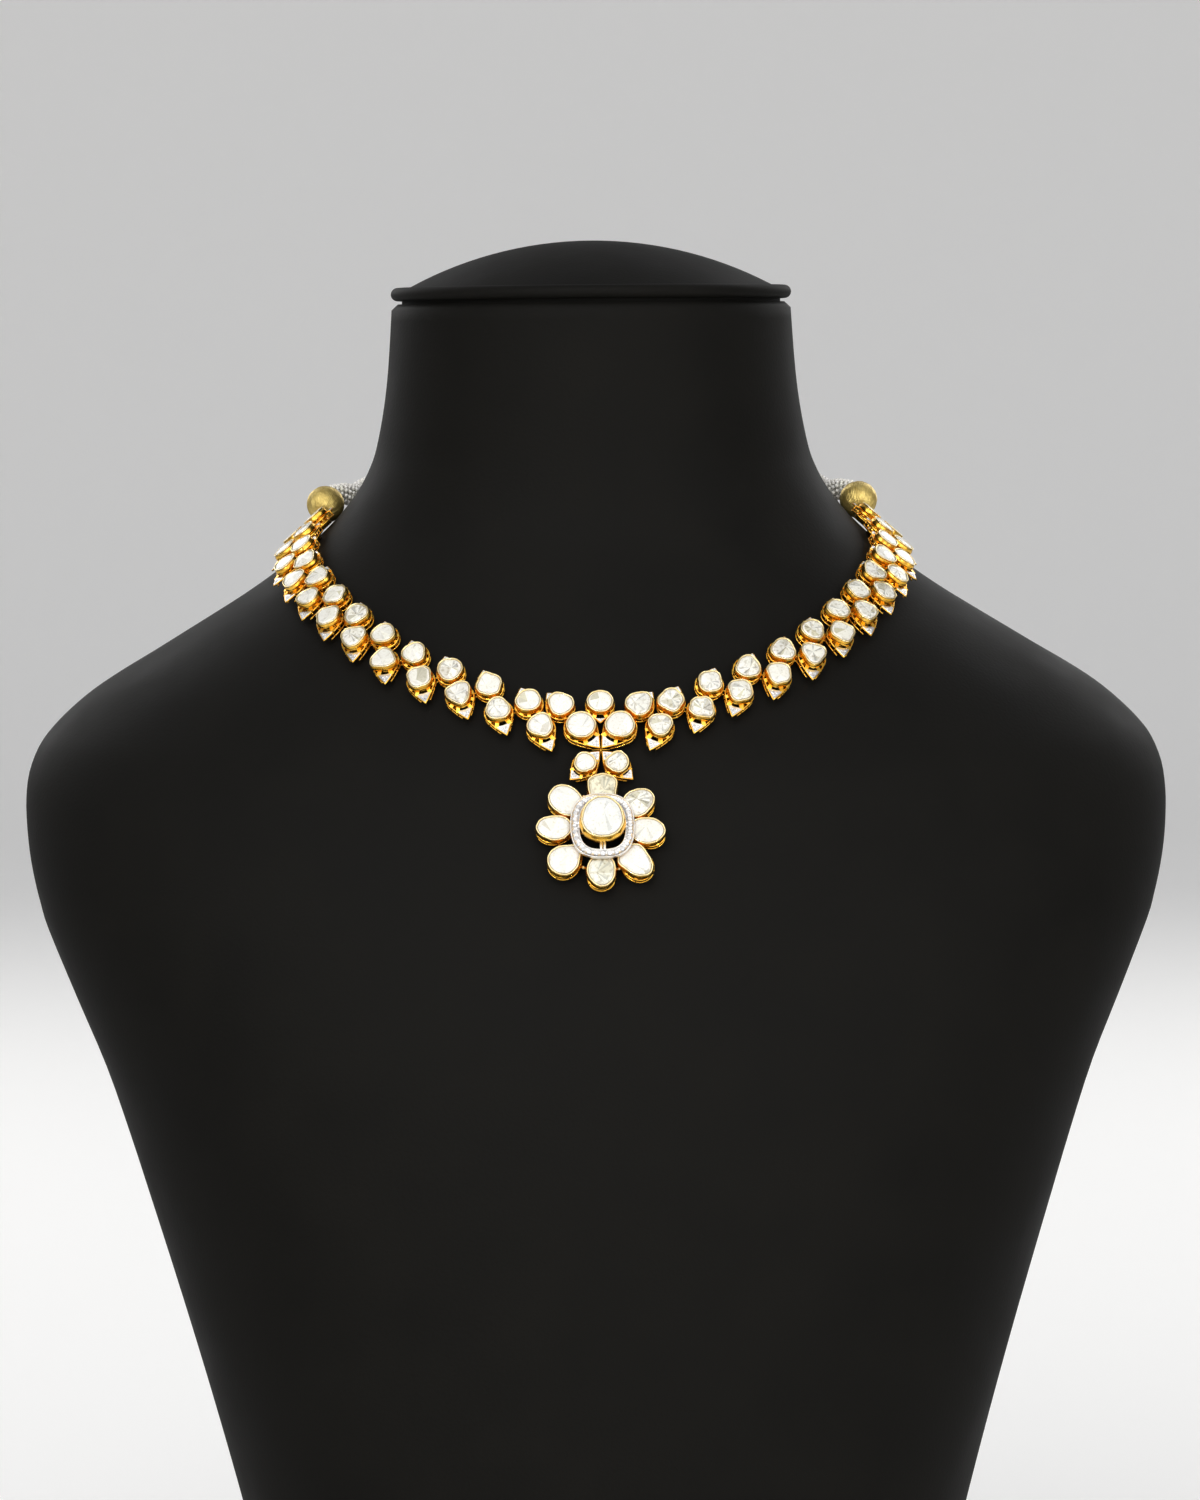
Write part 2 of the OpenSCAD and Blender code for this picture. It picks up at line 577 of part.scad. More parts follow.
module flower_setting() {
  for (i = [0:PETALS - 1]) on_petal(i) petal(petals[i]);
  color(GOLD) {
    difference() {
      translate([0, 0, low_rail]) cylinder(r = gallery_r + rail_w, h = rail_h, $fn = 48);
      cylinder(r = gallery_r - rail_w, h = top_rail, $fn = 48);
    }
    for (i = [0:PETALS - 1]) rotate((petal_turn(i) + petal_turn(i + 1)) / 2) {
      translate([petal_r, 0, 0]) rotate(90) solder(petal_r - petal_w - rail_w * 4, rib_w);
      translate([gallery_r, 0, low_rail]) cylinder(r = post_r, h = halo_base + halo_h / 2 - low_rail, $fn = 16);
    }
    wall(halo_base, halo_h) {
      polygon(halo_edge(halo_l, halo_w));
      polygon(halo_edge(halo_l - 2 * halo_band, halo_w - 2 * halo_band));
    }
    difference() {
      for (a = [0, 90]) rotate(a) translate([0, 0, low_rail + rail_h / 2]) cube([2 * gallery_r, rib_w, rail_h], center = true);
      translate([0, heart_up, 0]) cylinder(r = heart_foot - foot_wall / 2, h = top_rail, $fn = ROUND);
    }
    difference() {
      for (a = [0, 90]) rotate(a)
        translate([0, 0, heart_base]) cube([(a == 0 ? halo_w : halo_l) - halo_band, 2 * rib_w, rail_h], center = true);
      translate([0, heart_up, 0]) cylinder(r = heart_foot - foot_wall / 2, h = heart_top, $fn = ROUND);
    }
    translate([0, heart_up, 0]) rotate(90)
      cup(HEART_CUT, heart_l, heart_w, heart_top, heart_base, heart_foot);
  }
}

module heart_stone() { translate([0, heart_up, 0]) rotate(90) stone(HEART_CUT, heart_l, heart_w, heart_top); }

// Where two frames side by side face each other: middle of the gap, way across, way out, axis
function joint(f1, c1, r1, f2, c2, r2) =
  let (a = stone_of(f1, c1), b = stone_of(f2, c2),
       p = a + r1 * along(b - a, f1[3]), q = b + r2 * along(a - b, f2[3]),
       d = unit(b - a), w = along(f1[3] + f2[3], d))
  [(p + q) / 2, d, w, cross(d, w)];

module jump_ring() {
  color(GOLD) rotate_extrude($fn = ROUND) translate([ring_r, 0]) circle(d = ring_wire, $fn = 16);
}

// Cord's eye at the end of the chain, beside the last link's upper drop
eye_r = (eye_d + rail_w) / 2;
last_link = link_f[LINKS];
eye_way = unit(at(last_link, [cos(slant - 88), sin(slant - 88), 0]) - last_link[0]);
last_rail = stone_of(last_link, drop_at(LINKS)) + (drop_r - rail_w / 2) * eye_way;
eye_at = last_rail + (bar_apart + eye_r) * eye_way;
cord_way = unit(bead_at - eye_at);
function looking(p, d) = let (x = along([0, 0, 1], d)) [p, x, cross(d, x), d];

module chain_rings() {
  place(joint(crest_f, outer_at, drop_r, link_f[1], -drop_at(1), drop_r)) jump_ring();
  for (k = [1:LINKS - 1])
    place(joint(link_f[k], drop_at(k), drop_r, link_f[k + 1], -drop_at(k + 1), drop_r)) jump_ring();
  place([last_rail + bar_apart / 2 * eye_way, eye_way, last_link[3], cross(eye_way, last_link[3])]) jump_ring();
}

module pendant_rings() {
  place(joint(crest_f, [0, crest_bar_y], rail_w / 2, connector_f, [0, top_bar_y], rail_w / 2)) jump_ring();
  place(joint(connector_f, [0, low_bar_y], rail_w / 2, flower_f, [0, petal_end - rail_w / 2], rail_w / 2))
    jump_ring();
}

module end_loop() {
  color(GOLD) {
    place([eye_at, last_link[1], last_link[2], last_link[3]])
      rotate_extrude($fn = ROUND) translate([eye_r, 0]) circle(d = rail_w, $fn = 16);
    place(looking(eye_at, cord_way))
      translate([0, 0, eye_r]) cylinder(d = cord_d, h = norm(bead_at - eye_at) + bead_r - eye_r, $fn = ROUND);
  }
}

module zari_bead() {
  color(GOLD) place(looking(bead_at, cord_way)) difference() {
    sphere(r = bead_r, $fn = 48);
    cylinder(d = cord_d + 2 * bore_play, h = 2 * bead_d, center = true, $fn = ROUND);
  }
}

// Rope of seed pearls from the bead to the clasp behind the neck
ROPE_RINGS = 12;
ROPE_SIDES = 10;
clasp_at = rope_at(half_loop);
rope_from = bead_s + bead_r + 2 * rope_r;
rope_to = half_loop - clasp_l / 2 - rope_r;
rope_line = concat([bead_at + (bead_r + rope_gap) * cord_way],
                   [for (i = [0:ROPE_RINGS]) rope_at(rope_from + (rope_to - rope_from) * i / ROPE_RINGS)],
                   [clasp_at + [clasp_l / 2 + rope_gap, 0, 0]]);
function heading(i) =
  i == 0 ? cord_way : i == len(rope_line) - 1 ? [-1, 0, 0] : unit(rope_line[i + 1] - rope_line[i - 1]);
function rope_ring(i) =
  let (t = heading(i), x = along([0, 0, 1], t), y = cross(t, x))
  [for (k = [0:ROPE_SIDES - 1]) let (a = 360 * k / ROPE_SIDES) rope_line[i] + rope_r * (cos(a) * x + sin(a) * y)];

module tube(rings) {
  n = len(rings[0]);
  m = len(rings);
  polyhedron([for (r = rings, p = r) p],
             concat([[for (i = [0:n - 1]) i]],
                    [for (k = [0:m - 2], i = [0:n - 1])
                      [k * n + i, (k + 1) * n + i, (k + 1) * n + (i + 1) % n, k * n + (i + 1) % n]],
                    [[for (i = [n - 1:-1:0]) (m - 1) * n + i]]));
}

module pearl_rope() {
  color(PEARL) tube([for (i = [0:len(rope_line) - 1]) rope_ring(i)]);
}

module barrel_clasp() {
  color(GOLD) translate(clasp_at) rotate([0, 90, 0]) cylinder(d = clasp_d, h = clasp_l, center = true, $fn = 32);
}

// Bust: a stack of ovals with a bevelled foot and a rounded neck edge
neck_round = 1.6;
heights = concat([0, base_bevel],
                 [for (b = bands, i = [0:b[2] - 1]) if (b[0] > 0 || i > 0)
                   bust_h * (b[0] + (b[1] - b[0]) * i / b[2])],
                 [bust_h - neck_round, bust_h]);
function inset(z) = z == 0 ? base_bevel : z == bust_h ? neck_round : 0;
function oval_ring(z) =
  [for (i = [0:SIDES - 1]) let (p = skin(360 * i / SIDES, z), m = [0, oval(z)[2], z]) p - inset(z) * unit(p - m)];

module bust_form() {
  color(LEATHER) tube([for (z = heights) oval_ring(z)]);
}

module neck_cap() {
  rim_z = cap_joint + cap_rim / 2;
  half = (cap_w - cap_rim) / 2;
  rise = cap_h - rim_z;
  dome_r = (half ^ 2 + rise ^ 2) / (2 * rise);
  color(LEATHER) translate([0, neck_back, bust_h]) rotate_extrude($fn = 96) {
    square([cap_w / 2 - joint_in, rim_z]);
    translate([0, cap_joint]) square([half, cap_rim / 2]);
    intersection() {
      translate([half, rim_z]) circle(d = cap_rim, $fn = 32);
      translate([half - cap_rim / 4, 0]) square([cap_rim, cap_h]);
    }
    intersection() {
      translate([0, cap_h - dome_r]) circle(r = dome_r, $fn = 360);
      translate([0, rim_z]) square([half, rise]);
    }
  }
}

bust_form();
neck_cap();
place(crest_f) crest();
place(connector_f) pendant_connector();
place(flower_f) flower_setting();
for (k = [1:LINKS]) {
  mirrored() place(link_f[k]) link(k, cuts[left_upper_cuts[k - 1]], cuts[left_lower_cuts[k - 1]]);
  place(link_f[k]) link(k, cuts[right_upper_cuts[k - 1]], cuts[right_lower_cuts[k - 1]]);
  mirrored() place(link_f[k]) on_upper(k) stone(cuts[left_upper_cuts[k - 1]], stone_l, stone_w, cup_top);  // polki_left_upper
  mirrored() place(link_f[k]) on_lower(k) stone(cuts[left_lower_cuts[k - 1]], stone_l, stone_w, cup_top);  // polki_left_lower
  place(link_f[k]) on_upper(k) stone(cuts[right_upper_cuts[k - 1]], stone_l, stone_w, cup_top);  // polki_right_upper
  place(link_f[k]) on_lower(k) stone(cuts[right_lower_cuts[k - 1]], stone_l, stone_w, cup_top);  // polki_right_lower
}
for (i = [0:PETALS - 1])
  place(flower_f) on_petal(i)
      stone(cuts[petals[i][3]], petals[i][1] * petal_l, petals[i][2] * petal_w, cup_top);
place(flower_f) heart_stone();  // polki_heart
place(crest_f) on_crown() stone(cuts[CROWN_CUT], stone_l, crown_stone_w, cup_top);  // polki_crown
place(crest_f) on_side() stone(CREST_CUT, crest_stone_l, crest_stone_w, cup_top);  // polki_crest_right
mirrored() place(crest_f) on_side() stone(CREST_CUT, crest_stone_l, crest_stone_w, cup_top);  // polki_crest_left
place(crest_f) on_outer() stone(cuts[OUTER_CUTS[0]], stone_l, stone_w, cup_top);  // polki_outer_right
mirrored() place(crest_f) on_outer() stone(cuts[OUTER_CUTS[1]], stone_l, stone_w, cup_top);  // polki_outer_left
place(connector_f) on_leaf() stone(LEAF_CUTS[0], leaf_stone, leaf_stone, cup_top);  // polki_leaf_right
mirrored() place(connector_f) on_leaf() stone(LEAF_CUTS[1], leaf_stone, leaf_stone, cup_top);  // polki_leaf_left
mirrored() chain_rings();  // jump_rings_left
chain_rings();  // jump_rings_right
pendant_rings();
mirrored() zari_bead();  // zari_bead_left
zari_bead();  // zari_bead_right
mirrored() end_loop();  // end_loop_left
end_loop();  // end_loop_right
mirrored() pearl_rope();  // pearl_rope_left
pearl_rope();  // pearl_rope_right
barrel_clasp();
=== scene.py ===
# %% [markdown]
# A polki necklace lies on a plain black neck bust. Polki are flat, uncut-looking diamonds held
# in cups of pure gold, here on two-drop links, a crest and a flower pendant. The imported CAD
# model is the frame: it says where every piece is. This notebook reads the place of each stone
# from it and then builds the goldsmith's detail round that stone.

# %% Load the frame
import math
import random

import bmesh
import bpy
from mathutils import Matrix, Vector


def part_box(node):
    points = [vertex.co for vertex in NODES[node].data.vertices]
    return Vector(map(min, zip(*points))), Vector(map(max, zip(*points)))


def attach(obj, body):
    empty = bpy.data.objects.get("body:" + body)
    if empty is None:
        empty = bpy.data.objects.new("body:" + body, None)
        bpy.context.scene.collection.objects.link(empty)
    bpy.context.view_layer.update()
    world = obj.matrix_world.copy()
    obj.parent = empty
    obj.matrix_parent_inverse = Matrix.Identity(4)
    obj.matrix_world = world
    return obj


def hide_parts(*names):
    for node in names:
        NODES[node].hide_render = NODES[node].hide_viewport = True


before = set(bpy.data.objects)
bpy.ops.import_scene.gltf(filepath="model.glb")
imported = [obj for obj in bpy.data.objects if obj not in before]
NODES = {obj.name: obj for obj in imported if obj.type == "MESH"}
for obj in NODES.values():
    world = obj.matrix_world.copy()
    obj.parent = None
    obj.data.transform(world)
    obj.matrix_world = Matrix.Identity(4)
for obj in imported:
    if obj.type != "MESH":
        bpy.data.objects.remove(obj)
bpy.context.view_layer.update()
MM = 0.001

# %% [markdown]
# The camera stands far off with a long lens, as for a catalogue picture, a little above the
# height of the crest and turned slightly to one side. A long lens keeps the shoulders of the
# bust from bulging. The small shift puts the picture's centre where the real one has it.

# %% Camera
VIEW_TURN, VIEW_DOWN, VIEW_ROLL = math.radians(-0.9), math.radians(-5.0), math.radians(-0.5)
VIEW_AWAY, VIEW_HIGH, NECK_BACK = 1.300, 0.385, 0.069
camera = bpy.data.objects.new("camera", bpy.data.cameras.new("camera"))
bpy.context.scene.collection.objects.link(camera)
camera.location = (VIEW_AWAY * math.sin(VIEW_TURN), NECK_BACK - VIEW_AWAY * math.cos(VIEW_TURN),
                   VIEW_HIGH)
camera.matrix_world = (Matrix.Translation(camera.location) @ Matrix.Rotation(VIEW_TURN, 4, "Z")
                       @ Matrix.Rotation(math.radians(90) + VIEW_DOWN, 4, "X")
                       @ Matrix.Rotation(VIEW_ROLL, 4, "Z"))
camera.data.sensor_width = 36
camera.data.lens = 113.45
camera.data.shift_x, camera.data.shift_y = 0.00338, 0.00214
camera.data.clip_end = 20
bpy.context.scene.camera = camera
print("camera at", [round(c, 3) for c in camera.location])

# %% [markdown]
# Polished gold only looks like gold when it has both light and dark to reflect. So the light
# comes from a few large soft panels with darkness between them, and the pale paper, which curls
# up on every side, fills the shadows. Small hard lamps add the sparks that the diamonds need.

# %% Floor and lights
def all_round(count):
    """The angles of so many even steps round a circle."""
    return [2 * math.pi * k / count for k in range(count)]


def plain_material(name, colour, roughness):
    material = bpy.data.materials.new(name)
    material.use_nodes = True
    shader = material.node_tree.nodes["Principled BSDF"]
    shader.inputs["Base Color"].default_value = (*colour, 1)
    shader.inputs["Roughness"].default_value = roughness
    return material


def make_sweep(name, across, curl, height):
    """A round floor that curls up into a wall on every side, so that each view has the same backdrop."""
    steps, sides = 16, 96
    line = [(across - curl + curl * math.sin(a), curl - curl * math.cos(a))
            for a in (math.pi / 2 * i / steps for i in range(steps + 1))]
    line.append((across, height))
    mesh = bpy.data.meshes.new(name)
    turns = all_round(sides)
    points = [(r * math.cos(t), r * math.sin(t), z) for r, z in line for t in turns]
    walls = [(i * sides + k, (i + 1) * sides + k, (i + 1) * sides + (k + 1) % sides,
              i * sides + (k + 1) % sides)
             for i in range(len(line) - 1) for k in range(sides)]
    mesh.from_pydata(points, [], [tuple(range(sides))] + walls)
    for face in mesh.polygons:
        face.use_smooth = True
    made = bpy.data.objects.new(name, mesh)
    bpy.context.scene.collection.objects.link(made)
    return made


PAPER_GLOW = 0.25


def make_paper():
    """Pale paper, a little brighter to the camera alone, so the gold keeps darkness to reflect."""
    paper = plain_material("pale paper", (0.80, 0.79, 0.77), 0.85)
    tree = paper.node_tree
    shader = tree.nodes["Principled BSDF"]
    shader.inputs["Emission Color"].default_value = (1.0, 0.985, 0.96, 1)
    path = tree.nodes.new("ShaderNodeLightPath")
    glow = tree.nodes.new("ShaderNodeMath")
    glow.operation = "MULTIPLY"
    glow.inputs[1].default_value = PAPER_GLOW
    tree.links.new(path.outputs["Is Camera Ray"], glow.inputs[0])
    tree.links.new(glow.outputs[0], shader.inputs["Emission Strength"])
    return paper


def lamp(name, place, aim, watts, size, colour=(1, 1, 1)):
    light = bpy.data.lights.new(name, "AREA")
    light.energy, light.size, light.color = watts, size, colour
    made = bpy.data.objects.new(name, light)
    made.location = place
    made.rotation_euler = (Vector(aim) - Vector(place)).to_track_quat("-Z", "Y").to_euler()
    made.visible_camera = False
    bpy.context.scene.collection.objects.link(made)
    return made


floor = make_sweep("floor", 3.4, 0.9, 3.2)
floor.location.z = -0.0005
floor.data.materials.append(make_paper())
world = bpy.data.worlds.new("studio")
bpy.context.scene.world = world
world.use_nodes = True
world.node_tree.nodes["Background"].inputs["Color"].default_value = (0.86, 0.90, 1.0, 1)
world.node_tree.nodes["Background"].inputs["Strength"].default_value = 0.36
CHEST = (0, -0.03, 0.27)
lamp("key panel", (-0.75, -1.15, 1.05), CHEST, 8.0, 1.2)
lamp("fill panel", (0.95, -1.00, 0.70), CHEST, 4.5, 0.9)
lamp("top panel", (0.0, -0.75, 1.20), CHEST, 4.2, 1.0)
lamp("low panel", (0.1, -1.15, 0.06), CHEST, 2.0, 0.8, (1.0, 0.95, 0.86))
lamp("spark left", (-0.35, -1.25, 0.75), CHEST, 1.6, 0.06)
lamp("spark right", (0.45, -1.2, 0.55), CHEST, 1.3, 0.06)
for side in (-1, 1):
    lamp("back panel", (0.85 * side, 1.25, 0.95), (0, 0.05, 0.30), 6.5, 0.9)
bpy.context.scene.view_settings.view_transform = "Standard"
print("stage: floor and", len(bpy.data.lights), "lamps")

# %% [markdown]
# Two effects come back in several finishes: a soft cloudy variation of colour or roughness, and
# a fine uneven surface. Each is a node group, so each finish sets its own size and strength.
# They give out only masks and heights; the shaders stay in the materials. With a high contrast
# the clouds break up into hard flecks, like the ones inside a milky stone.

# %% Shared effects
def new_effect(name, inputs, outputs):
    tree = bpy.data.node_groups.new(name, "ShaderNodeTree")
    for label, kind, value in inputs:
        tree.interface.new_socket(name=label, in_out="INPUT", socket_type=kind).default_value = value
    for label, kind in outputs:
        tree.interface.new_socket(name=label, in_out="OUTPUT", socket_type=kind)
    return tree, tree.nodes.new("NodeGroupInput"), tree.nodes.new("NodeGroupOutput")


NUMBER, PLACE = "NodeSocketFloat", "NodeSocketVector"


def make_clouds():
    """Soft patches or hard flecks. Mask runs from 0 to 1, and Cover says how much it covers."""
    tree, ins, outs = new_effect("clouds", [("Place", PLACE, (0, 0, 0)), ("Scale", NUMBER, 300.0),
                                            ("Contrast", NUMBER, 2.0),
                                            ("Cover", NUMBER, 0.5)], [("Mask", NUMBER)])
    noise = tree.nodes.new("ShaderNodeTexNoise")
    noise.inputs["Detail"].default_value = 3
    centre = tree.nodes.new("ShaderNodeMath")
    centre.operation = "SUBTRACT"
    centre.inputs[1].default_value = 0.5
    spread = tree.nodes.new("ShaderNodeMath")
    spread.operation = "MULTIPLY_ADD"
    spread.use_clamp = True
    link = tree.links.new
    link(ins.outputs["Place"], noise.inputs["Vector"])
    link(ins.outputs["Scale"], noise.inputs["Scale"])
    link(noise.outputs["Fac"], centre.inputs[0])
    link(centre.outputs[0], spread.inputs[0])
    link(ins.outputs["Contrast"], spread.inputs[1])
    link(ins.outputs["Cover"], spread.inputs[2])
    link(spread.outputs[0], outs.inputs["Mask"])
    return tree


def make_pebbles():
    """Close-set rounded cells of uneven size, as in pressed leather or hand-burnished foil."""
    tree, ins, outs = new_effect("pebbles", [("Place", PLACE, (0, 0, 0)), ("Scale", NUMBER, 1000.0),
                                             ("Softness", NUMBER, 0.5)], [("Height", NUMBER)])
    cells = tree.nodes.new("ShaderNodeTexVoronoi")
    cells.feature = "SMOOTH_F1"
    fine = tree.nodes.new("ShaderNodeTexNoise")
    fine.inputs["Detail"].default_value = 4
    mix = tree.nodes.new("ShaderNodeMix")
    link = tree.links.new
    link(ins.outputs["Place"], cells.inputs["Vector"])
    link(ins.outputs["Scale"], cells.inputs["Scale"])
    link(ins.outputs["Softness"], cells.inputs["Smoothness"])
    link(ins.outputs["Place"], fine.inputs["Vector"])
    link(ins.outputs["Scale"], fine.inputs["Scale"])
    link(cells.outputs["Distance"], mix.inputs[2])
    link(fine.outputs["Fac"], mix.inputs[3])
    mix.inputs[0].default_value = 0.35
    link(mix.outputs[0], outs.inputs["Height"])
    return tree


clouds, pebbles = make_clouds(), make_pebbles()
print("effects:", clouds.name, "and", pebbles.name)

# %% [markdown]
# Every finish is a Principled shader fed by those effects. The recipe below takes two colours to
# drift between, a range of roughness, and a grain with its size and depth. Flecks darken the
# colour in spots. The places come from the object's own coordinates, in metres, so a scale of
# 1000 means one cell a millimetre.

# %% A recipe for a finish
def finish_of(name, colours, patch, rough, grain, metal=0.0, tone=False, index=None, flecks=None):
    """patch: cells a metre. rough: smoothest and roughest. grain: scale, depth and strength.
    flecks: scale, cover and colour. tone: whether the faces carry a tone of their own."""
    material = bpy.data.materials.new(name)
    material.use_nodes = True
    tree = material.node_tree
    new, link = tree.nodes.new, tree.links.new
    shader = tree.nodes["Principled BSDF"]
    shader.inputs["Metallic"].default_value = metal
    if index:
        shader.inputs["IOR"].default_value = index
    place = new("ShaderNodeTexCoord")
    cloud = new("ShaderNodeGroup")
    cloud.node_tree = clouds
    cloud.inputs["Scale"].default_value = patch
    link(place.outputs["Object"], cloud.inputs["Place"])
    tint = new("ShaderNodeMix")
    tint.data_type = "RGBA"
    tint.inputs[6].default_value = (*colours[0], 1)
    tint.inputs[7].default_value = (*colours[1], 1)
    link(cloud.outputs["Mask"], tint.inputs[0])
    colour = tint.outputs[2]
    if tone:
        facet = new("ShaderNodeAttribute")
        facet.attribute_name = "tone"
        blend = new("ShaderNodeMix")
        blend.data_type, blend.blend_type = "RGBA", "MULTIPLY"
        blend.inputs[0].default_value = 1
        link(colour, blend.inputs[6])
        link(facet.outputs["Color"], blend.inputs[7])
        colour = blend.outputs[2]
    if flecks:
        spots = new("ShaderNodeGroup")
        spots.node_tree = clouds
        spots.inputs["Scale"].default_value, spots.inputs["Cover"].default_value = flecks[:2]
        spots.inputs["Contrast"].default_value = 5
        link(place.outputs["Object"], spots.inputs["Place"])
        over = new("ShaderNodeMix")
        over.data_type, over.blend_type = "RGBA", "MULTIPLY"
        over.inputs[7].default_value = (*flecks[2], 1)
        link(spots.outputs["Mask"], over.inputs[0])
        link(colour, over.inputs[6])
        colour = over.outputs[2]
    link(colour, shader.inputs["Base Color"])
    spread = new("ShaderNodeMapRange")
    spread.inputs["To Min"].default_value, spread.inputs["To Max"].default_value = rough
    link(cloud.outputs["Mask"], spread.inputs["Value"])
    link(spread.outputs["Result"], shader.inputs["Roughness"])
    pebble = new("ShaderNodeGroup")
    pebble.node_tree = pebbles
    pebble.inputs["Scale"].default_value = grain[0]
    link(place.outputs["Object"], pebble.inputs["Place"])
    bump = new("ShaderNodeBump")
    bump.inputs["Distance"].default_value = grain[1]
    bump.inputs["Strength"].default_value = grain[2]
    link(pebble.outputs["Height"], bump.inputs["Height"])
    link(bump.outputs["Normal"], shader.inputs["Normal"])
    return material, shader


# %% [markdown]
# The colours: deep orange-yellow gold for walls and wires, a paler gold for the thin burnished lips
# that are pushed over the stones, whose paleness is a painted highlight, white gold for the
# diamond-set tips, milky white for the polki, cream for the seed pearls and a near-black leatherette
# for the bust.

# %% Finishes
gold, _ = finish_of("yellow gold", [(1.0, 0.62, 0.10), (0.96, 0.47, 0.04)], 260, (0.18, 0.32),
                    (900, 6e-5, 0.3), 1.0)
# Painted highlight: the lips' gold is paler than the wall's to stand for the light that they catch.
pale_highlight_gold, _ = finish_of("gold with painted highlight", [(1.0, 0.86, 0.50), (1.0, 0.75, 0.32)], 420, (0.22, 0.36),
                        (1500, 4e-5, 0.3), 1.0)
white_gold, _ = finish_of("white gold", [(0.90, 0.89, 0.88), (0.74, 0.73, 0.71)], 700, (0.26, 0.42),
                          (1800, 3e-5, 0.3), 1.0)
POLKI_TINTS = [(0.95, 0.93, 0.87), (0.88, 0.855, 0.78)]
polki, _ = finish_of("polki", POLKI_TINTS, 420, (0.07, 0.22), (1500, 7e-5, 0.35),
                     tone=True, index=1.8, flecks=(1900, -0.15, (0.80, 0.77, 0.70)))
veined_polki, _ = finish_of("veined polki", POLKI_TINTS, 520, (0.06, 0.20), (1500, 9e-5, 0.45),
                            tone=True, index=1.8, flecks=(1300, -0.05, (0.62, 0.57, 0.48)))
melee, _ = finish_of("melee diamond", [(0.97, 0.97, 0.97), (0.90, 0.91, 0.93)], 900, (0.02, 0.06),
                     (2500, 1e-5, 0.1), tone=True, index=2.3)
pearl, pearl_shader = finish_of("seed pearl", [(0.99, 0.98, 0.93), (0.96, 0.94, 0.87)], 500,
                                (0.20, 0.32), (2200, 1e-5, 0.2), tone=True, index=1.55)
pearl_shader.inputs["Coat Weight"].default_value = 0.4
pearl_shader.inputs["Coat Roughness"].default_value = 0.12
thread_gold, _ = finish_of("gold thread", [(0.86, 0.66, 0.22), (0.50, 0.35, 0.09)], 650, (0.30, 0.50),
                           (1300, 1.5e-4, 0.7), 0.8)
leatherette, leather_shader = finish_of("black leatherette",
                                        [(0.0046, 0.0043, 0.0035), (0.0072, 0.0067, 0.0055)], 45,
                                        (0.60, 0.72), (1150, 1.2e-4, 0.35))
leather_shader.inputs["Specular IOR Level"].default_value = 0.08
GOLDS = [gold, pale_highlight_gold, white_gold]
WALL, HIGHLIGHT_GOLD, WHITE = range(3)
print("finishes:", [m.name for m in bpy.data.materials if m.use_nodes])

# %% [markdown]
# A bench helper collects faces in one mesh. It works in millimetres in the frame of the piece
# at hand: x towards the drop's tip, z outward from the chest. Most goldwork here is one idea,
# a profile swept round an outline, so a wire, a cup wall and a halo all come from one function.

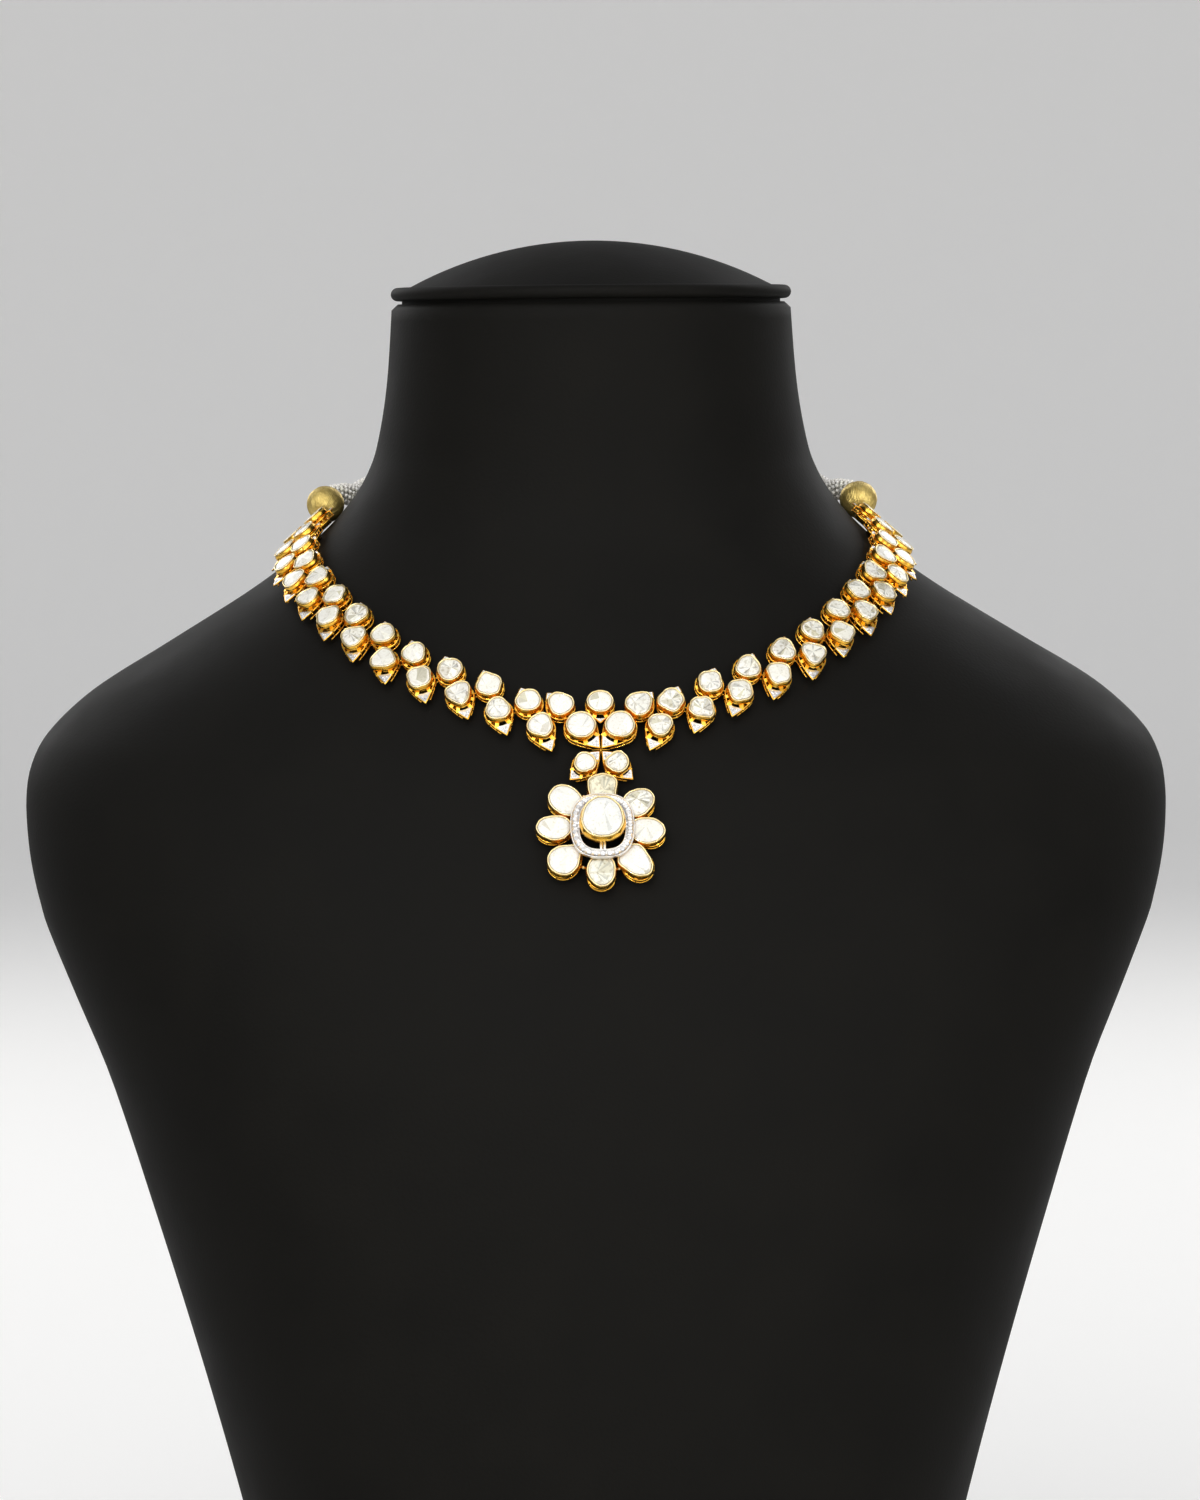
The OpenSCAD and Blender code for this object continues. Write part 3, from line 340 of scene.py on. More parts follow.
# %% The bench
class Bench:
    """Collects a piece's faces. seat is the matrix from its millimetres to the room's metres."""

    def __init__(self, seat=None):
        self.mesh = bmesh.new()
        self.tones = self.mesh.loops.layers.float_color.new("tone")
        self.seat = seat or Matrix.Scale(MM, 4)

    def point(self, x, y, z):
        return self.mesh.verts.new(self.seat @ Vector((x, y, z)))

    def face(self, corners, metal=WALL, smooth=False, tone=(1, 1, 1)):
        made = self.mesh.faces.new(corners)
        made.material_index, made.smooth = metal, smooth
        for corner in made.loops:
            corner[self.tones] = (*tone, 1)

    def skin(self, rows, around=True, along=True, metal=WALL, smooth=True):
        """Quads between rows of points. around closes each row, along joins the last to the first."""
        metals = metal if callable(metal) else lambda k: metal
        n, m = len(rows), len(rows[0])
        for i in range(n if along else n - 1):
            a, b = rows[i], rows[(i + 1) % n]
            for k in range(m if around else m - 1):
                self.face([a[k], b[k], b[(k + 1) % m], a[(k + 1) % m]], metals(k), smooth)

    def sweep(self, path, profile, closed=True, round_profile=True, metal=WALL, wobble=None):
        """Carries a profile of (outward, up) steps along a path of (x, y) points, counter-clockwise."""
        n, rows = len(path), []
        for i, (x, y) in enumerate(path):
            before = path[i - 1] if closed or i else path[i]
            after = path[(i + 1) % n] if closed or i < n - 1 else path[i]
            go_in = Vector((x - before[0], y - before[1]))
            go_out = Vector((after[0] - x, after[1] - y))
            if go_in.length < 1e-9:
                go_in = go_out
            if go_out.length < 1e-9:
                go_out = go_in
            way = go_in.normalized() + go_out.normalized()
            way.normalize()
            stretch = 1 / max(way.dot(go_out.normalized()), 0.62)
            out = Vector((way.y, -way.x)) * stretch
            more = wobble(i / n) if wobble else 0.0
            rows.append([self.point(x + out.x * (d + more), y + out.y * (d + more), z)
                         for d, z in profile])
        self.skin(rows, round_profile, closed, metal)
        if not closed and round_profile:
            self.face(list(reversed(rows[0])), metal if not callable(metal) else WALL)
            self.face(rows[-1], metal if not callable(metal) else WALL)
        return rows

    def rod(self, start, end, radius, sides=10, metal=WALL):
        """A straight round rod between two points."""
        a, b = Vector(start), Vector(end)
        axis = (b - a).normalized()
        side = axis.orthogonal().normalized()
        other = axis.cross(side)
        rows = []
        for p in (a, b):
            ring = [p + radius * (math.cos(t) * side + math.sin(t) * other)
                    for t in all_round(sides)]
            rows.append([self.point(*q) for q in ring])
        self.skin(rows, True, False, metal)
        self.face(list(reversed(rows[0])), metal)
        self.face(rows[1], metal)

    def ball(self, centre, radius, metal=WALL, rings=6, sides=8, tone=(1, 1, 1)):
        """A small bead of metal."""
        x, y, z = centre
        top, low = self.point(x, y, z + radius), self.point(x, y, z - radius)
        rows = []
        for i in range(1, rings):
            a = math.pi * i / rings
            rows.append([self.point(x + radius * math.sin(a) * math.cos(t),
                                    y + radius * math.sin(a) * math.sin(t),
                                    z + radius * math.cos(a)) for t in all_round(sides)])
        for k in range(sides):
            j = (k + 1) % sides
            self.face([top, rows[0][k], rows[0][j]], metal, True, tone)
            self.face([low, rows[-1][j], rows[-1][k]], metal, True, tone)
            for a, b in zip(rows, rows[1:]):
                self.face([a[k], b[k], b[j], a[j]], metal, True, tone)

    def block(self, low_corners, high_corners, metal=WALL):
        """A closed prism between two outlines of equal length, counter-clockwise from above."""
        low, high = ([self.point(*p) for p in side] for side in (low_corners, high_corners))
        self.face(list(reversed(low)), metal)
        self.face(high, metal)
        n = len(low)
        for i in range(n):
            self.face([low[i], low[(i + 1) % n], high[(i + 1) % n], high[i]], metal)

    def done(self, name, materials, slot, *nodes):
        """Turns the faces into a piece that rides on the body and stands for the named nodes."""
        data = bpy.data.meshes.new(name)
        bmesh.ops.recalc_face_normals(self.mesh, faces=self.mesh.faces)
        self.mesh.to_mesh(data)
        self.mesh.free()
        for material in materials:
            data.materials.append(material)
        made = bpy.data.objects.new(name, data)
        bpy.context.scene.collection.objects.link(made)
        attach(made, "root")
        if nodes:
            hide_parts(*nodes)
        return made


def ring_profile(radius, height, sides=8):
    """The round section of a wire whose middle runs at a height."""
    return [(radius * math.cos(t), height + radius * math.sin(t))
            for t in all_round(sides)]


print("bench ready")

# %% [markdown]
# Each CAD stone is a plain faceted block with a flat back. Its back is its largest face, so the
# back's normal says which way is outward, and its twelve corners give the outline. The outline
# is centred in the drop's own frame, x towards the tip, and smoothed to forty-eight points.
# Stones ground by hand are rounded but never quite round, so each gets a few soft flats. Faces
# and links are always taken in the same order, so that every run makes the same stones.

# %% Read the stones' places
STONE_BACK = 3.46
HEART_BACK = 9.08
HEART_UP = 0.9
OUTLINE = 48
FIRST_CORNER = math.radians(195)


def loose_parts(node):
    """The separate solids of a node, each as its list of (normal, area, corner points) faces."""
    grown = bmesh.new()
    grown.from_mesh(NODES[node].data)
    bmesh.ops.remove_doubles(grown, verts=grown.verts, dist=1e-6)
    grown.faces.index_update()
    seen, parts = set(), []
    for first in grown.faces:
        if first.index in seen:
            continue
        seen.add(first.index)
        todo, part = [first], []
        while todo:
            face = todo.pop()
            part.append((face.normal.copy(), face.calc_area(), [v.co.copy() for v in face.verts]))
            for edge in face.edges:
                for other in edge.link_faces:
                    if other.index not in seen:
                        seen.add(other.index)
                        todo.append(other)
        parts.append(part)
    grown.free()
    return parts


def seat_at(x, y, z, origin):
    """The matrix from a piece's own millimetres to the room's metres."""
    return Matrix([[a * MM, b * MM, c * MM, d] for a, b, c, d in zip(x, y, z, origin)] + [[0, 0, 0, 1]])


class Stone:
    """A CAD stone's back outline and outward direction."""

    def __init__(self, part):
        planes = {}
        for normal, area, corners in part:
            key = tuple(round(c, 2) for c in normal)
            plane = planes.setdefault(key, [Vector(), 0.0, []])
            plane[0] += normal * area
            plane[1] += area
            plane[2] += corners
        back = max(planes.values(), key=lambda p: p[1])
        self.w = -back[0].normalized()
        self.corners = []
        for c in back[2]:
            if all((c - d).length > 1e-5 for d in self.corners):
                self.corners.append(c)
        self.centre = sum(self.corners, Vector()) / len(self.corners)

    def turn_to(self, way):
        """Sets the frame's x axis towards way and centres the outline in it."""
        self.x = (way - way.dot(self.w) * self.w).normalized()
        self.y = self.w.cross(self.x)
        spans = [[c.dot(axis) for c in self.corners] for axis in (self.x, self.y)]
        mids = [(min(s) + max(s)) / 2 for s in spans]
        level = self.centre.dot(self.w)
        self.centre = mids[0] * self.x + mids[1] * self.y + level * self.w

    def settle(self, back):
        """Sets the seat, with its origin under the stone at the piece's back, and the outline in mm."""
        origin = self.centre - back * MM * self.w
        self.seat = seat_at(self.x, self.y, self.w, origin)
        flat = [((c - self.centre).dot(self.x) / MM, (c - self.centre).dot(self.y) / MM)
                for c in self.corners]
        flat.sort(key=lambda p: (math.atan2(p[1], p[0]) + FIRST_CORNER) % (2 * math.pi))
        self.edge = smooth_loop(flat, OUTLINE // len(flat))
        return self


def curve_point(a, b, c, d, t):
    """The point at share t between b and c on the smooth curve through all four."""
    return 0.5 * (2 * b + (c - a) * t + (2 * a - 5 * b + 4 * c - d) * t ** 2
                  + (3 * b - a - 3 * c + d) * t ** 3)


def smooth_loop(points, parts):
    """A closed curve through the points, with parts steps between neighbours."""
    n, made = len(points), []
    for i in range(n):
        p = [Vector(points[(i + k) % n]) for k in (-1, 0, 1, 2)]
        made += [tuple(curve_point(*p, s / parts)) for s in range(parts)]
    return made


def hand_ground(edge, seed, shows, depth=0.115):
    """The share of an outline that shows inside its lip, with the soft flats of hand grinding."""
    draw = random.Random(seed)
    turn, sides, made = draw.uniform(0, 6.28), draw.choice((3, 3, 4)), []
    for x, y in edge:
        press = shows * (1 - depth * (0.5 + 0.5 * math.cos(sides * (math.atan2(y, x) - turn))) ** 1.5)
        made.append((x * press, y * press))
    return made


def egg_of(edge, narrow=0.09, limit=1.02):
    """Rounds an outline's corners off and narrows it towards +x."""
    half_x, half_y = (max(p[k] for p in edge) / 2 - min(p[k] for p in edge) / 2 for k in (0, 1))
    made = []
    for x, y in edge:
        press = min(1.0, limit / math.hypot(x / half_x, y / half_y))
        made.append((x * press, y * press * (1 - narrow * x / half_x)))
    return made


def one_stone(node):
    return Stone(loose_parts(node)[0])


RIGHT = Vector((1, 0, 0))
SIDES = {"left": -1, "right": 1}
heart = one_stone("polki_heart")
heart.turn_to(heart.w.cross(RIGHT))
heart.settle(HEART_BACK)
heart.edge = egg_of(heart.edge)
flower_up = heart.w.cross(RIGHT)
flower_middle = heart.centre - HEART_BACK * MM * heart.w - HEART_UP * MM * flower_up
petals = []
for i in range(8):
    stone = one_stone(f"polki_petal_{i + 1}")
    for _ in range(3):
        stone.turn_to(stone.centre - flower_middle)
    petals.append(stone.settle(STONE_BACK))

SIDE_TIP, TIP_APART = 7.8, 0.15
crown = one_stone("polki_crown")
crown.turn_to(-crown.w.cross(RIGHT))
crown.settle(STONE_BACK)
crest_sides, crest_outers = {}, {}
for name, sign in SIDES.items():
    side, outer = one_stone(f"polki_crest_{name}"), one_stone(f"polki_outer_{name}")
    for _ in range(3):
        reach_in = abs(side.centre.x) / MM - TIP_APART
        reach_down = math.sqrt(SIDE_TIP ** 2 - reach_in ** 2)
        side.turn_to(-sign * reach_in * RIGHT - reach_down * side.w.cross(RIGHT))
    for _ in range(3):
        outer.turn_to(outer.centre - side.centre)
    crest_sides[name], crest_outers[name] = side.settle(STONE_BACK), outer.settle(STONE_BACK)

LEAF_TURN = math.radians(46)
leaves = {}
for name, sign in SIDES.items():
    stone = one_stone(f"polki_leaf_{name}")
    stone.turn_to(sign * math.cos(LEAF_TURN) * RIGHT - math.sin(LEAF_TURN) * stone.w.cross(RIGHT))
    leaves[name] = stone.settle(STONE_BACK)

LINK_REACH = 9.5
links = {}
for name in SIDES:
    uppers = [Stone(p) for p in loose_parts(f"polki_{name}_upper")]
    lowers = [Stone(p) for p in loose_parts(f"polki_{name}_lower")]
    for upper in uppers:
        near = [s for s in lowers if (s.centre - upper.centre).length < LINK_REACH * MM]
        lower = max(near, key=lambda s: s.w.dot(upper.w))
        for _ in range(3):
            way = upper.centre - lower.centre
            upper.turn_to(way)
            lower.turn_to(-way)
        middle = (upper.centre + lower.centre) / 2
        boxes = {n: sum((Vector(c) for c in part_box(n)), Vector()) / 2
                 for n in NODES if n.startswith(f"link_{name}_")}
        node = min(boxes, key=lambda n: (boxes[n] - middle).length)
        links[node] = (upper.settle(STONE_BACK), lower.settle(STONE_BACK))
for number, node in enumerate(sorted(links)):
    for k, stone in enumerate(links[node]):
        stone.edge = hand_ground(stone.edge, 100 + 2 * number + k, 0.93)
for stones, shows, depth in ((petals, 1.0, 0.06), ([crown], 0.94, 0.07),
                             (crest_sides.values(), 0.92, 0.075), (crest_outers.values(), 0.95, 0.09),
                             (leaves.values(), 0.88, 0.075)):
    for number, stone in enumerate(stones):
        stone.edge = hand_ground(stone.edge, number, shows, depth)
# The top petal's stone has a blunt point outward and two straight flanks.
HALF_HOUSE = [(3.62, 0.0), (3.15, 1.75), (2.45, 3.00), (1.35, 3.45), (-1.20, 3.10), (-3.00, 2.55),
              (-3.70, 0.0)]
whole_house = HALF_HOUSE + [(x, -y) for x, y in reversed(HALF_HOUSE[1:-1])]
petals[0].edge = smooth_loop(whole_house, OUTLINE // len(whole_house))
print("stones placed:", len(petals) + 1 + 3 + 2 + 2 + 2 * len(links), "links:", len(links))

# %% [markdown]
# A drop's frame is a round that is drawn out to a tip. The two wires follow that outline, one
# above the other. Between them and the stone's cup sit small bright tabs with dark gaps
# between, which is what gives the side of the necklace its lively pattern of gold and black.

# %% Outlines of the frames
BULGE = math.radians(7.5)


def bezier(a, b, c, steps):
    return [tuple((1 - u) ** 2 * a[k] + 2 * u * (1 - u) * b[k] + u ** 2 * c[k] for k in (0, 1))
            for u in (i / steps for i in range(steps))]


def drop_outline(r, tip, both=False, arc_step=8):
    """Counter-clockwise from the tip on +x. both draws a tip on -x as well."""
    a = math.acos(r / tip) + BULGE
    start = (r * math.cos(a), r * math.sin(a))
    span = math.hypot(tip - start[0], start[1]) / 2
    bend = (start[0] + span * math.sin(a), start[1] - span * math.cos(a))
    flank = bezier((tip, 0), bend, start, 7)
    end = math.pi - a if both else 2 * math.pi - a
    steps = max(2, round(math.degrees(end - a) / arc_step))
    arc = [(r * math.cos(t), r * math.sin(t))
           for t in (a + (end - a) * i / steps for i in range(steps + 1))]
    if both:
        half = flank + arc + [(-x, y) for x, y in reversed(flank[1:])]
        return half + [(-x, -y) for x, y in half]
    return flank + arc + [(x, -y) for x, y in reversed(flank[1:])]


def reach(path, angle):
    """How far an outline round the origin reaches in a direction."""
    ux, uy = math.cos(angle), math.sin(angle)
    best = 0.0
    for (ax, ay), (bx, by) in zip(path, path[1:] + path[:1]):
        dx, dy = bx - ax, by - ay
        cross = ux * dy - uy * dx
        if abs(cross) > 1e-12:
            t, s = (ax * dy - ay * dx) / cross, (ax * uy - ay * ux) / cross
            if t > 0 and -1e-9 <= s <= 1 + 1e-9:
                best = max(best, t)
    return best


print("outline of a lower drop:", len(drop_outline(3.85, 7.4)), "points")

# %% [markdown]
# The cup is a bowl-shaped wall of thick gold foil. Its edge is pushed over the stone by hand
# and burnished, so it is a little wavy and rounded, and its colour is a paler gold than the wall:
# a painted highlight. The lip is part of the same sweep, with its own finish, so that it shows as
# one thin bright line, partly from the light it catches and partly from its painted highlight.

# %% Cups, wires and tabs
RAIL = 0.24
UPPER_RAIL, LOWER_RAIL = 2.62, 1.18
PLATE_TOP, PLATE_LOW = 2.96, 2.50
TAB_LOW, TAB_OUTER, TAB_INNER = 2.44, 2.90, 3.45
FOOT_R, FOOT_TOP = 2.5, 2.6
CUP_WALL = [(-0.20, 2.50), (0.10, 2.70), (0.44, 3.10), (0.60, 3.50), (0.54, 4.00), (0.30, 4.50),
            (0.22, 4.62), (0.32, 4.68), (0.38, 4.80), (0.36, 4.93), (0.24, 5.02), (0.09, 5.00),
            (-0.03, 4.80)]
LIP_FROM = 6


def make_cup(bench, edge, wall, seed, lip_from=LIP_FROM):
    draw = random.Random(seed)
    waves = [(draw.uniform(0, 6.28), n, draw.uniform(0.4, 1.0)) for n in (3, 5, 9, 14)]

    def wobble(t):
        return 0.028 * sum(s * math.sin(2 * math.pi * n * t + p) for p, n, s in waves)

    # The lip's faces take the paler gold, whose paleness is a painted highlight.
    rows = bench.sweep(edge, wall, round_profile=False, metal=lambda k: HIGHLIGHT_GOLD if k >= lip_from else WALL,
                       wobble=wobble)
    bench.face([row[0] for row in rows])


def make_foot(bench, radius, top):
    bench.sweep([(radius * math.cos(t), radius * math.sin(t)) for t in all_round(24)],
                [(0, 0), (0, top), (-0.4, top), (-0.4, 0)])


def make_tab(bench, edge, rail, angle, wide=0.58):
    """A bright plate from the foot of the cup out over the upper wire."""
    ux, uy = math.cos(angle), math.sin(angle)
    inner, outer = reach(edge, angle) - 0.95, reach(rail, angle) + 0.16
    if outer - inner < 0.25:
        return

    def corner(d, s, z):
        return (d * ux - s * uy, d * uy + s * ux, z)

    flat = ((inner, -wide, TAB_INNER), (outer, -wide * 0.85, TAB_OUTER), (outer, wide * 0.85, TAB_OUTER),
            (inner, wide, TAB_INNER))
    bench.block([corner(d, s, TAB_LOW) for d, s, _ in flat], [corner(d, s, z) for d, s, z in flat])


def make_post(bench, rail, angle):
    d = reach(rail, angle)
    bench.rod((d * math.cos(angle), d * math.sin(angle), LOWER_RAIL),
              (d * math.cos(angle), d * math.sin(angle), UPPER_RAIL), 0.2, 8)


def without_tips(path, tip, notch):
    """The open stretches of an outline that stay back from its tips."""
    keep = [abs(x) < tip - notch for x, _ in path]
    start = next(i for i in range(len(path)) if keep[i] and not keep[i - 1])
    runs, run = [], []
    for k in range(len(path)):
        i = (start + k) % len(path)
        if keep[i]:
            run.append(path[i])
        elif run:
            runs.append(run)
            run = []
    return runs + ([run] if run else [])


# %% [markdown]
# The tips are small plates of white gold set with rose-cut diamonds, each diamond between tiny
# beads raised from the plate. The plate is what lies beyond the cup inside the frame's outline.

# %% Diamond-set tips
TIP_STONES = {"large": [(1.12, 0.0, 0.40), (2.02, 0.50, 0.42), (2.02, -0.50, 0.42)],
              "small": [(0.86, 0.0, 0.34)],
              "crest": [(1.05, 0.0, 0.36), (1.86, 0.46, 0.40), (1.86, -0.46, 0.40), (2.72, 0.0, 0.40)],
              "crown": [(0.86, 0.0, 0.34), (1.52, 0.34, 0.26), (1.52, -0.34, 0.26)],
              "leaf": [(0.98, 0.0, 0.34), (1.72, 0.44, 0.38), (1.72, -0.44, 0.38)]}


def make_melee(bench, x, y, z, radius, turn=0.0, tone=0.0, draw=None):
    """A small rose-cut diamond: a flat top, a ring of facets and a girdle in the metal."""
    shades = [(1 - draw.random() ** 2 * tone,) * 3 for _ in range(17)]
    girdle = [bench.point(x + radius * math.cos(turn + t), y + radius * math.sin(turn + t), z + 0.02)
              for t in all_round(8)]
    table = [bench.point(x + 0.58 * radius * math.cos(turn + t), y + 0.58 * radius * math.sin(turn + t),
                         z + 0.27 * radius + 0.02)
             for t in (2 * math.pi * (k + 0.5) / 8 for k in range(8))]
    bench.face(table, tone=shades[16])
    for k in range(8):
        j = (k + 1) % 8
        bench.face([girdle[k], girdle[j], table[k]], tone=shades[2 * k])
        bench.face([table[k], girdle[j], table[j]], tone=shades[2 * k + 1])
    low = bench.point(x, y, z - 0.3 * radius)
    for k in range(8):
        bench.face([girdle[(k + 1) % 8], girdle[k], low], tone=(0.8, 0.8, 0.8))


def make_tip(bench, stones, r, tip, edge, kind, flip=1, draw=None):
    """bench takes the plate and its beads, stones takes the diamonds."""
    path = drop_outline(r - 0.22, tip - 0.40, both=(kind == "leaf"))
    back = max(r + (0.0 if kind == "leaf" else 0.34), max(x * flip for x, y in edge) + 0.30)
    ahead = [(x, y) for x, y in path if x * flip > 0 and math.hypot(x, y) > back]
    ahead.sort(key=lambda p: math.atan2(p[1], p[0] * flip))
    spread = math.atan2(ahead[-1][1], ahead[-1][0] * flip)
    inner = [(flip * back * math.cos(a), back * math.sin(a))
             for a in (spread - 2 * spread * k / 6 for k in range(7))]
    ring = ahead + inner
    cx, cy = (sum(p[k] for p in ring) / len(ring) for k in (0, 1))
    if flip < 0:
        ring = ring[::-1]
    bench.block([(x, y, PLATE_LOW) for x, y in ring], [(x, y, PLATE_TOP - 0.1) for x, y in ring], WHITE)
    inset = [(cx + (x - cx) * 0.93, cy + (y - cy) * 0.93) for x, y in ring]
    bench.block([(x, y, PLATE_TOP - 0.11) for x, y in ring], [(x, y, PLATE_TOP) for x, y in inset],
                WHITE)
    for from_tip, y, radius in TIP_STONES[kind]:
        x = flip * (tip - 0.22 - from_tip)
        if math.hypot(x, y) < back + radius * 0.55:
            continue
        make_melee(stones, x, y, PLATE_TOP, radius, draw.uniform(0, 0.7), 0.75, draw)
        for k in range(4):
            a = math.pi / 4 + math.pi / 2 * k
            bench.ball((x + (radius + 0.05) * math.cos(a), y + (radius + 0.05) * math.sin(a),
                        PLATE_TOP + 0.02), 0.1, WHITE, 4, 6)


# %% [markdown]
# With those parts a whole drop is one function: upper and lower wire, foot, cup, tabs, posts
# and tip. The lower wire stops short of the tip, which leaves the dark notch seen there.

# %% One drop
TABS = [math.radians(a) for a in (23, 56, 90, 124, 158)]
LEAF_TABS = [math.radians(a) for a in (26, 58, 90, 122, 154)]
LEAF_SCALE = 0.86


def make_drop(bench, stones, stone, r, tip, kind, seed, draw):
    bench.seat = stones.seat = stone.seat
    both = kind == "leaf"
    rail = drop_outline(r - RAIL + 0.02, tip - 1.6 * RAIL, both)
    bench.sweep(rail, ring_profile(RAIL, UPPER_RAIL))
    for run in without_tips(drop_outline(r - RAIL + 0.02, tip - 1.6 * RAIL, both, 6), tip, 1.35):
        bench.sweep(run, ring_profile(RAIL * 0.92, LOWER_RAIL), closed=False)
    scale = LEAF_SCALE if both else 1.0
    make_foot(bench, FOOT_R * scale, FOOT_TOP)
    make_cup(bench, stone.edge, CUP_WALL, seed)
    for angle in LEAF_TABS if both else TABS:
        for a in (angle, -angle):
            make_tab(bench, stone.edge, rail, a, 0.42 if both else draw.uniform(0.46, 0.64))
            make_post(bench, rail, a)
    for a in (50, 130, 230, 310):
        ux, uy = math.cos(math.radians(a)), math.sin(math.radians(a))
        far = reach(rail, math.radians(a))
        bench.rod((2.3 * scale * ux, 2.3 * scale * uy, LOWER_RAIL), (far * ux, far * uy, LOWER_RAIL),
                  0.2, 8)
    make_tip(bench, stones, r, tip, stone.edge, kind, 1, draw)
    if both:
        make_tip(bench, stones, r, tip, stone.edge, kind, -1, draw)


def make_solder(bench, a, b, ra, rb):
    """A drop of solder where two frames meet, between the middles a and b in the room's metres."""
    way = (b.centre - a.centre).normalized()
    meet = a.centre + way * ((b.centre - a.centre).length + (ra - rb) * MM) / 2
    low = meet - a.w * (STONE_BACK - LOWER_RAIL) * MM
    high = meet - a.w * (STONE_BACK - UPPER_RAIL - 0.1) * MM
    bench.seat = Matrix.Scale(MM, 4)
    bench.rod(low / MM, high / MM, 0.42, 10)
    bench.ball(high / MM, 0.42)


# %% [markdown]
# Each of the twenty-four links is a pair of drops that lean on each other, soldered at one
# point. The longer tip hangs outward below, the shorter one points up.

# %% Links
LINK_R, UPPER_TIP, LOWER_TIP = 3.85, 5.7, 7.4
chain_melee = Bench()
for number, node in enumerate(sorted(links)):
    upper, lower = links[node]
    draw = random.Random(100 + number)
    bench = Bench()
    make_drop(bench, chain_melee, upper, LINK_R, UPPER_TIP, "small", 200 + number, draw)
    make_drop(bench, chain_melee, lower, LINK_R, LOWER_TIP, "large", 300 + number, draw)
    make_solder(bench, upper, lower, LINK_R, LINK_R)
    bench.done(f"gold_{node}", GOLDS, "gold", node)
chain_melee.done("melee_chain", [melee], "polki")
print("links made:", len(links))

# %% [markdown]
# The crest is five drops in one piece: a top one that points down, two large ones that meet tip
# to tip, and one on each flank. A short bar under the tips carries the ring of the pendant.

# %% Crest
CREST_R, CROWN_TIP = 4.4, 5.6
ring_middles = []
for part in loose_parts("pendant_rings"):
    corners = [c for _, _, face in part for c in face]
    ring_middles.append(Vector([(min(c[k] for c in corners) + max(c[k] for c in corners)) / 2
                                for k in range(3)]))
ring_middles.sort(key=lambda c: -c.z)
HALF_BAR = 0.375


def room_bar(bench, start, end, radius=0.24):
    bench.seat = Matrix.Scale(MM, 4)
    bench.rod(start / MM, end / MM, radius, 10)


draw = random.Random(11)
bench, crest_melee = Bench(), Bench()
make_drop(bench, crest_melee, crown, LINK_R, CROWN_TIP, "crown", 21, draw)
for k, name in enumerate(SIDES):
    make_drop(bench, crest_melee, crest_sides[name], CREST_R, SIDE_TIP, "crest", 22 + k, draw)
    make_drop(bench, crest_melee, crest_outers[name], LINK_R, UPPER_TIP, "small", 24 + k, draw)
    make_solder(bench, crest_sides[name], crest_outers[name], CREST_R, LINK_R)
    make_solder(bench, crest_sides[name], crown, CREST_R, LINK_R)
crest_up = crown.w.cross(RIGHT)
bar = ring_middles[0] + HALF_BAR * MM * crest_up
room_bar(bench, bar - 2.3 * MM * RIGHT, bar + 2.3 * MM * RIGHT)
bench.done("gold_crest", GOLDS, "gold", "crest")
crest_melee.done("melee_crest", [melee], "polki")
print("crest made")

# %% [markdown]
# The connector is two pointed leaves with a stone each, joined at their inner tips. Bars at the
# top and bottom take the two small rings, on which the real flower swings a little; here all of it is
# fixed to one body.

# %% Connector
LEAF_R, LEAF_TIP, BAR_OUT = 3.4, 5.75, 1.9
draw = random.Random(31)
bench, connector_melee = Bench(), Bench()
for k, name in enumerate(SIDES):
    make_drop(bench, connector_melee, leaves[name], LEAF_R, LEAF_TIP, "leaf", 32 + k, draw)
connector_up = leaves["left"].w.cross(RIGHT)
leaf_level = ((leaves["left"].centre + leaves["right"].centre) / 2
              - (STONE_BACK - LOWER_RAIL) * MM * leaves["left"].w)
top_bar = ring_middles[0] - HALF_BAR * MM * connector_up
low_bar = ring_middles[1] + HALF_BAR * MM * connector_up
top_rise, low_rise = ((p - leaf_level).dot(connector_up) for p in (top_bar, low_bar))
for rise, out in ((top_rise, BAR_OUT), (low_rise, BAR_OUT + 0.45)):
    middle = leaf_level + rise * connector_up
    room_bar(bench, middle - out * MM * RIGHT, middle + out * MM * RIGHT)
for sign in SIDES.values():
    corner = leaf_level + top_rise * connector_up + sign * 1.72 * MM * RIGHT
    room_bar(bench, corner, corner - 3.0 * MM * connector_up)
    corner = leaf_level + low_rise * connector_up + sign * 2.15 * MM * RIGHT
    room_bar(bench, corner, corner + 1.2 * MM * connector_up)
bench.done("gold_connector", GOLDS, "gold", "pendant_connector")
connector_melee.done("melee_connector", [melee], "polki")
print("connector made")

# %% [markdown]
# The flower has eight cupped petals round a diamond-set halo, and a large middle stone on a
# raised cup that stands free inside the halo, held by pairs of white bars. Small bars with a
# bead join each petal to the next.

# %% Flower
HALO_W, HALO_L, HALO_BAND, HALO_SQUARE = 16.3, 17.6, 2.4, 2.7
HALO_LOW, HALO_TOP = 5.32, 6.82
GALLERY = 7.175


def squared(angle, half_w, half_l):
    c, s = math.cos(angle), math.sin(angle)
    return (half_w * math.copysign(abs(c) ** (2 / HALO_SQUARE), c),
            half_l * math.copysign(abs(s) ** (2 / HALO_SQUARE), s))


def even_loop(path, count):
    """count points at even distances round a closed path, each with its direction."""
    steps = [math.dist(a, b) for a, b in zip(path, path[1:] + path[:1])]
    total, made, i, gone = sum(steps), [], 0, 0.0
    for k in range(count):
        want = total * k / count
        while gone + steps[i] < want:
            gone += steps[i]
            i += 1
        a, b, t = path[i], path[(i + 1) % len(path)], (want - gone) / steps[i]
        made.append((a[0] + (b[0] - a[0]) * t, a[1] + (b[1] - a[1]) * t,
                     math.atan2(b[1] - a[1], b[0] - a[0])))
    return made


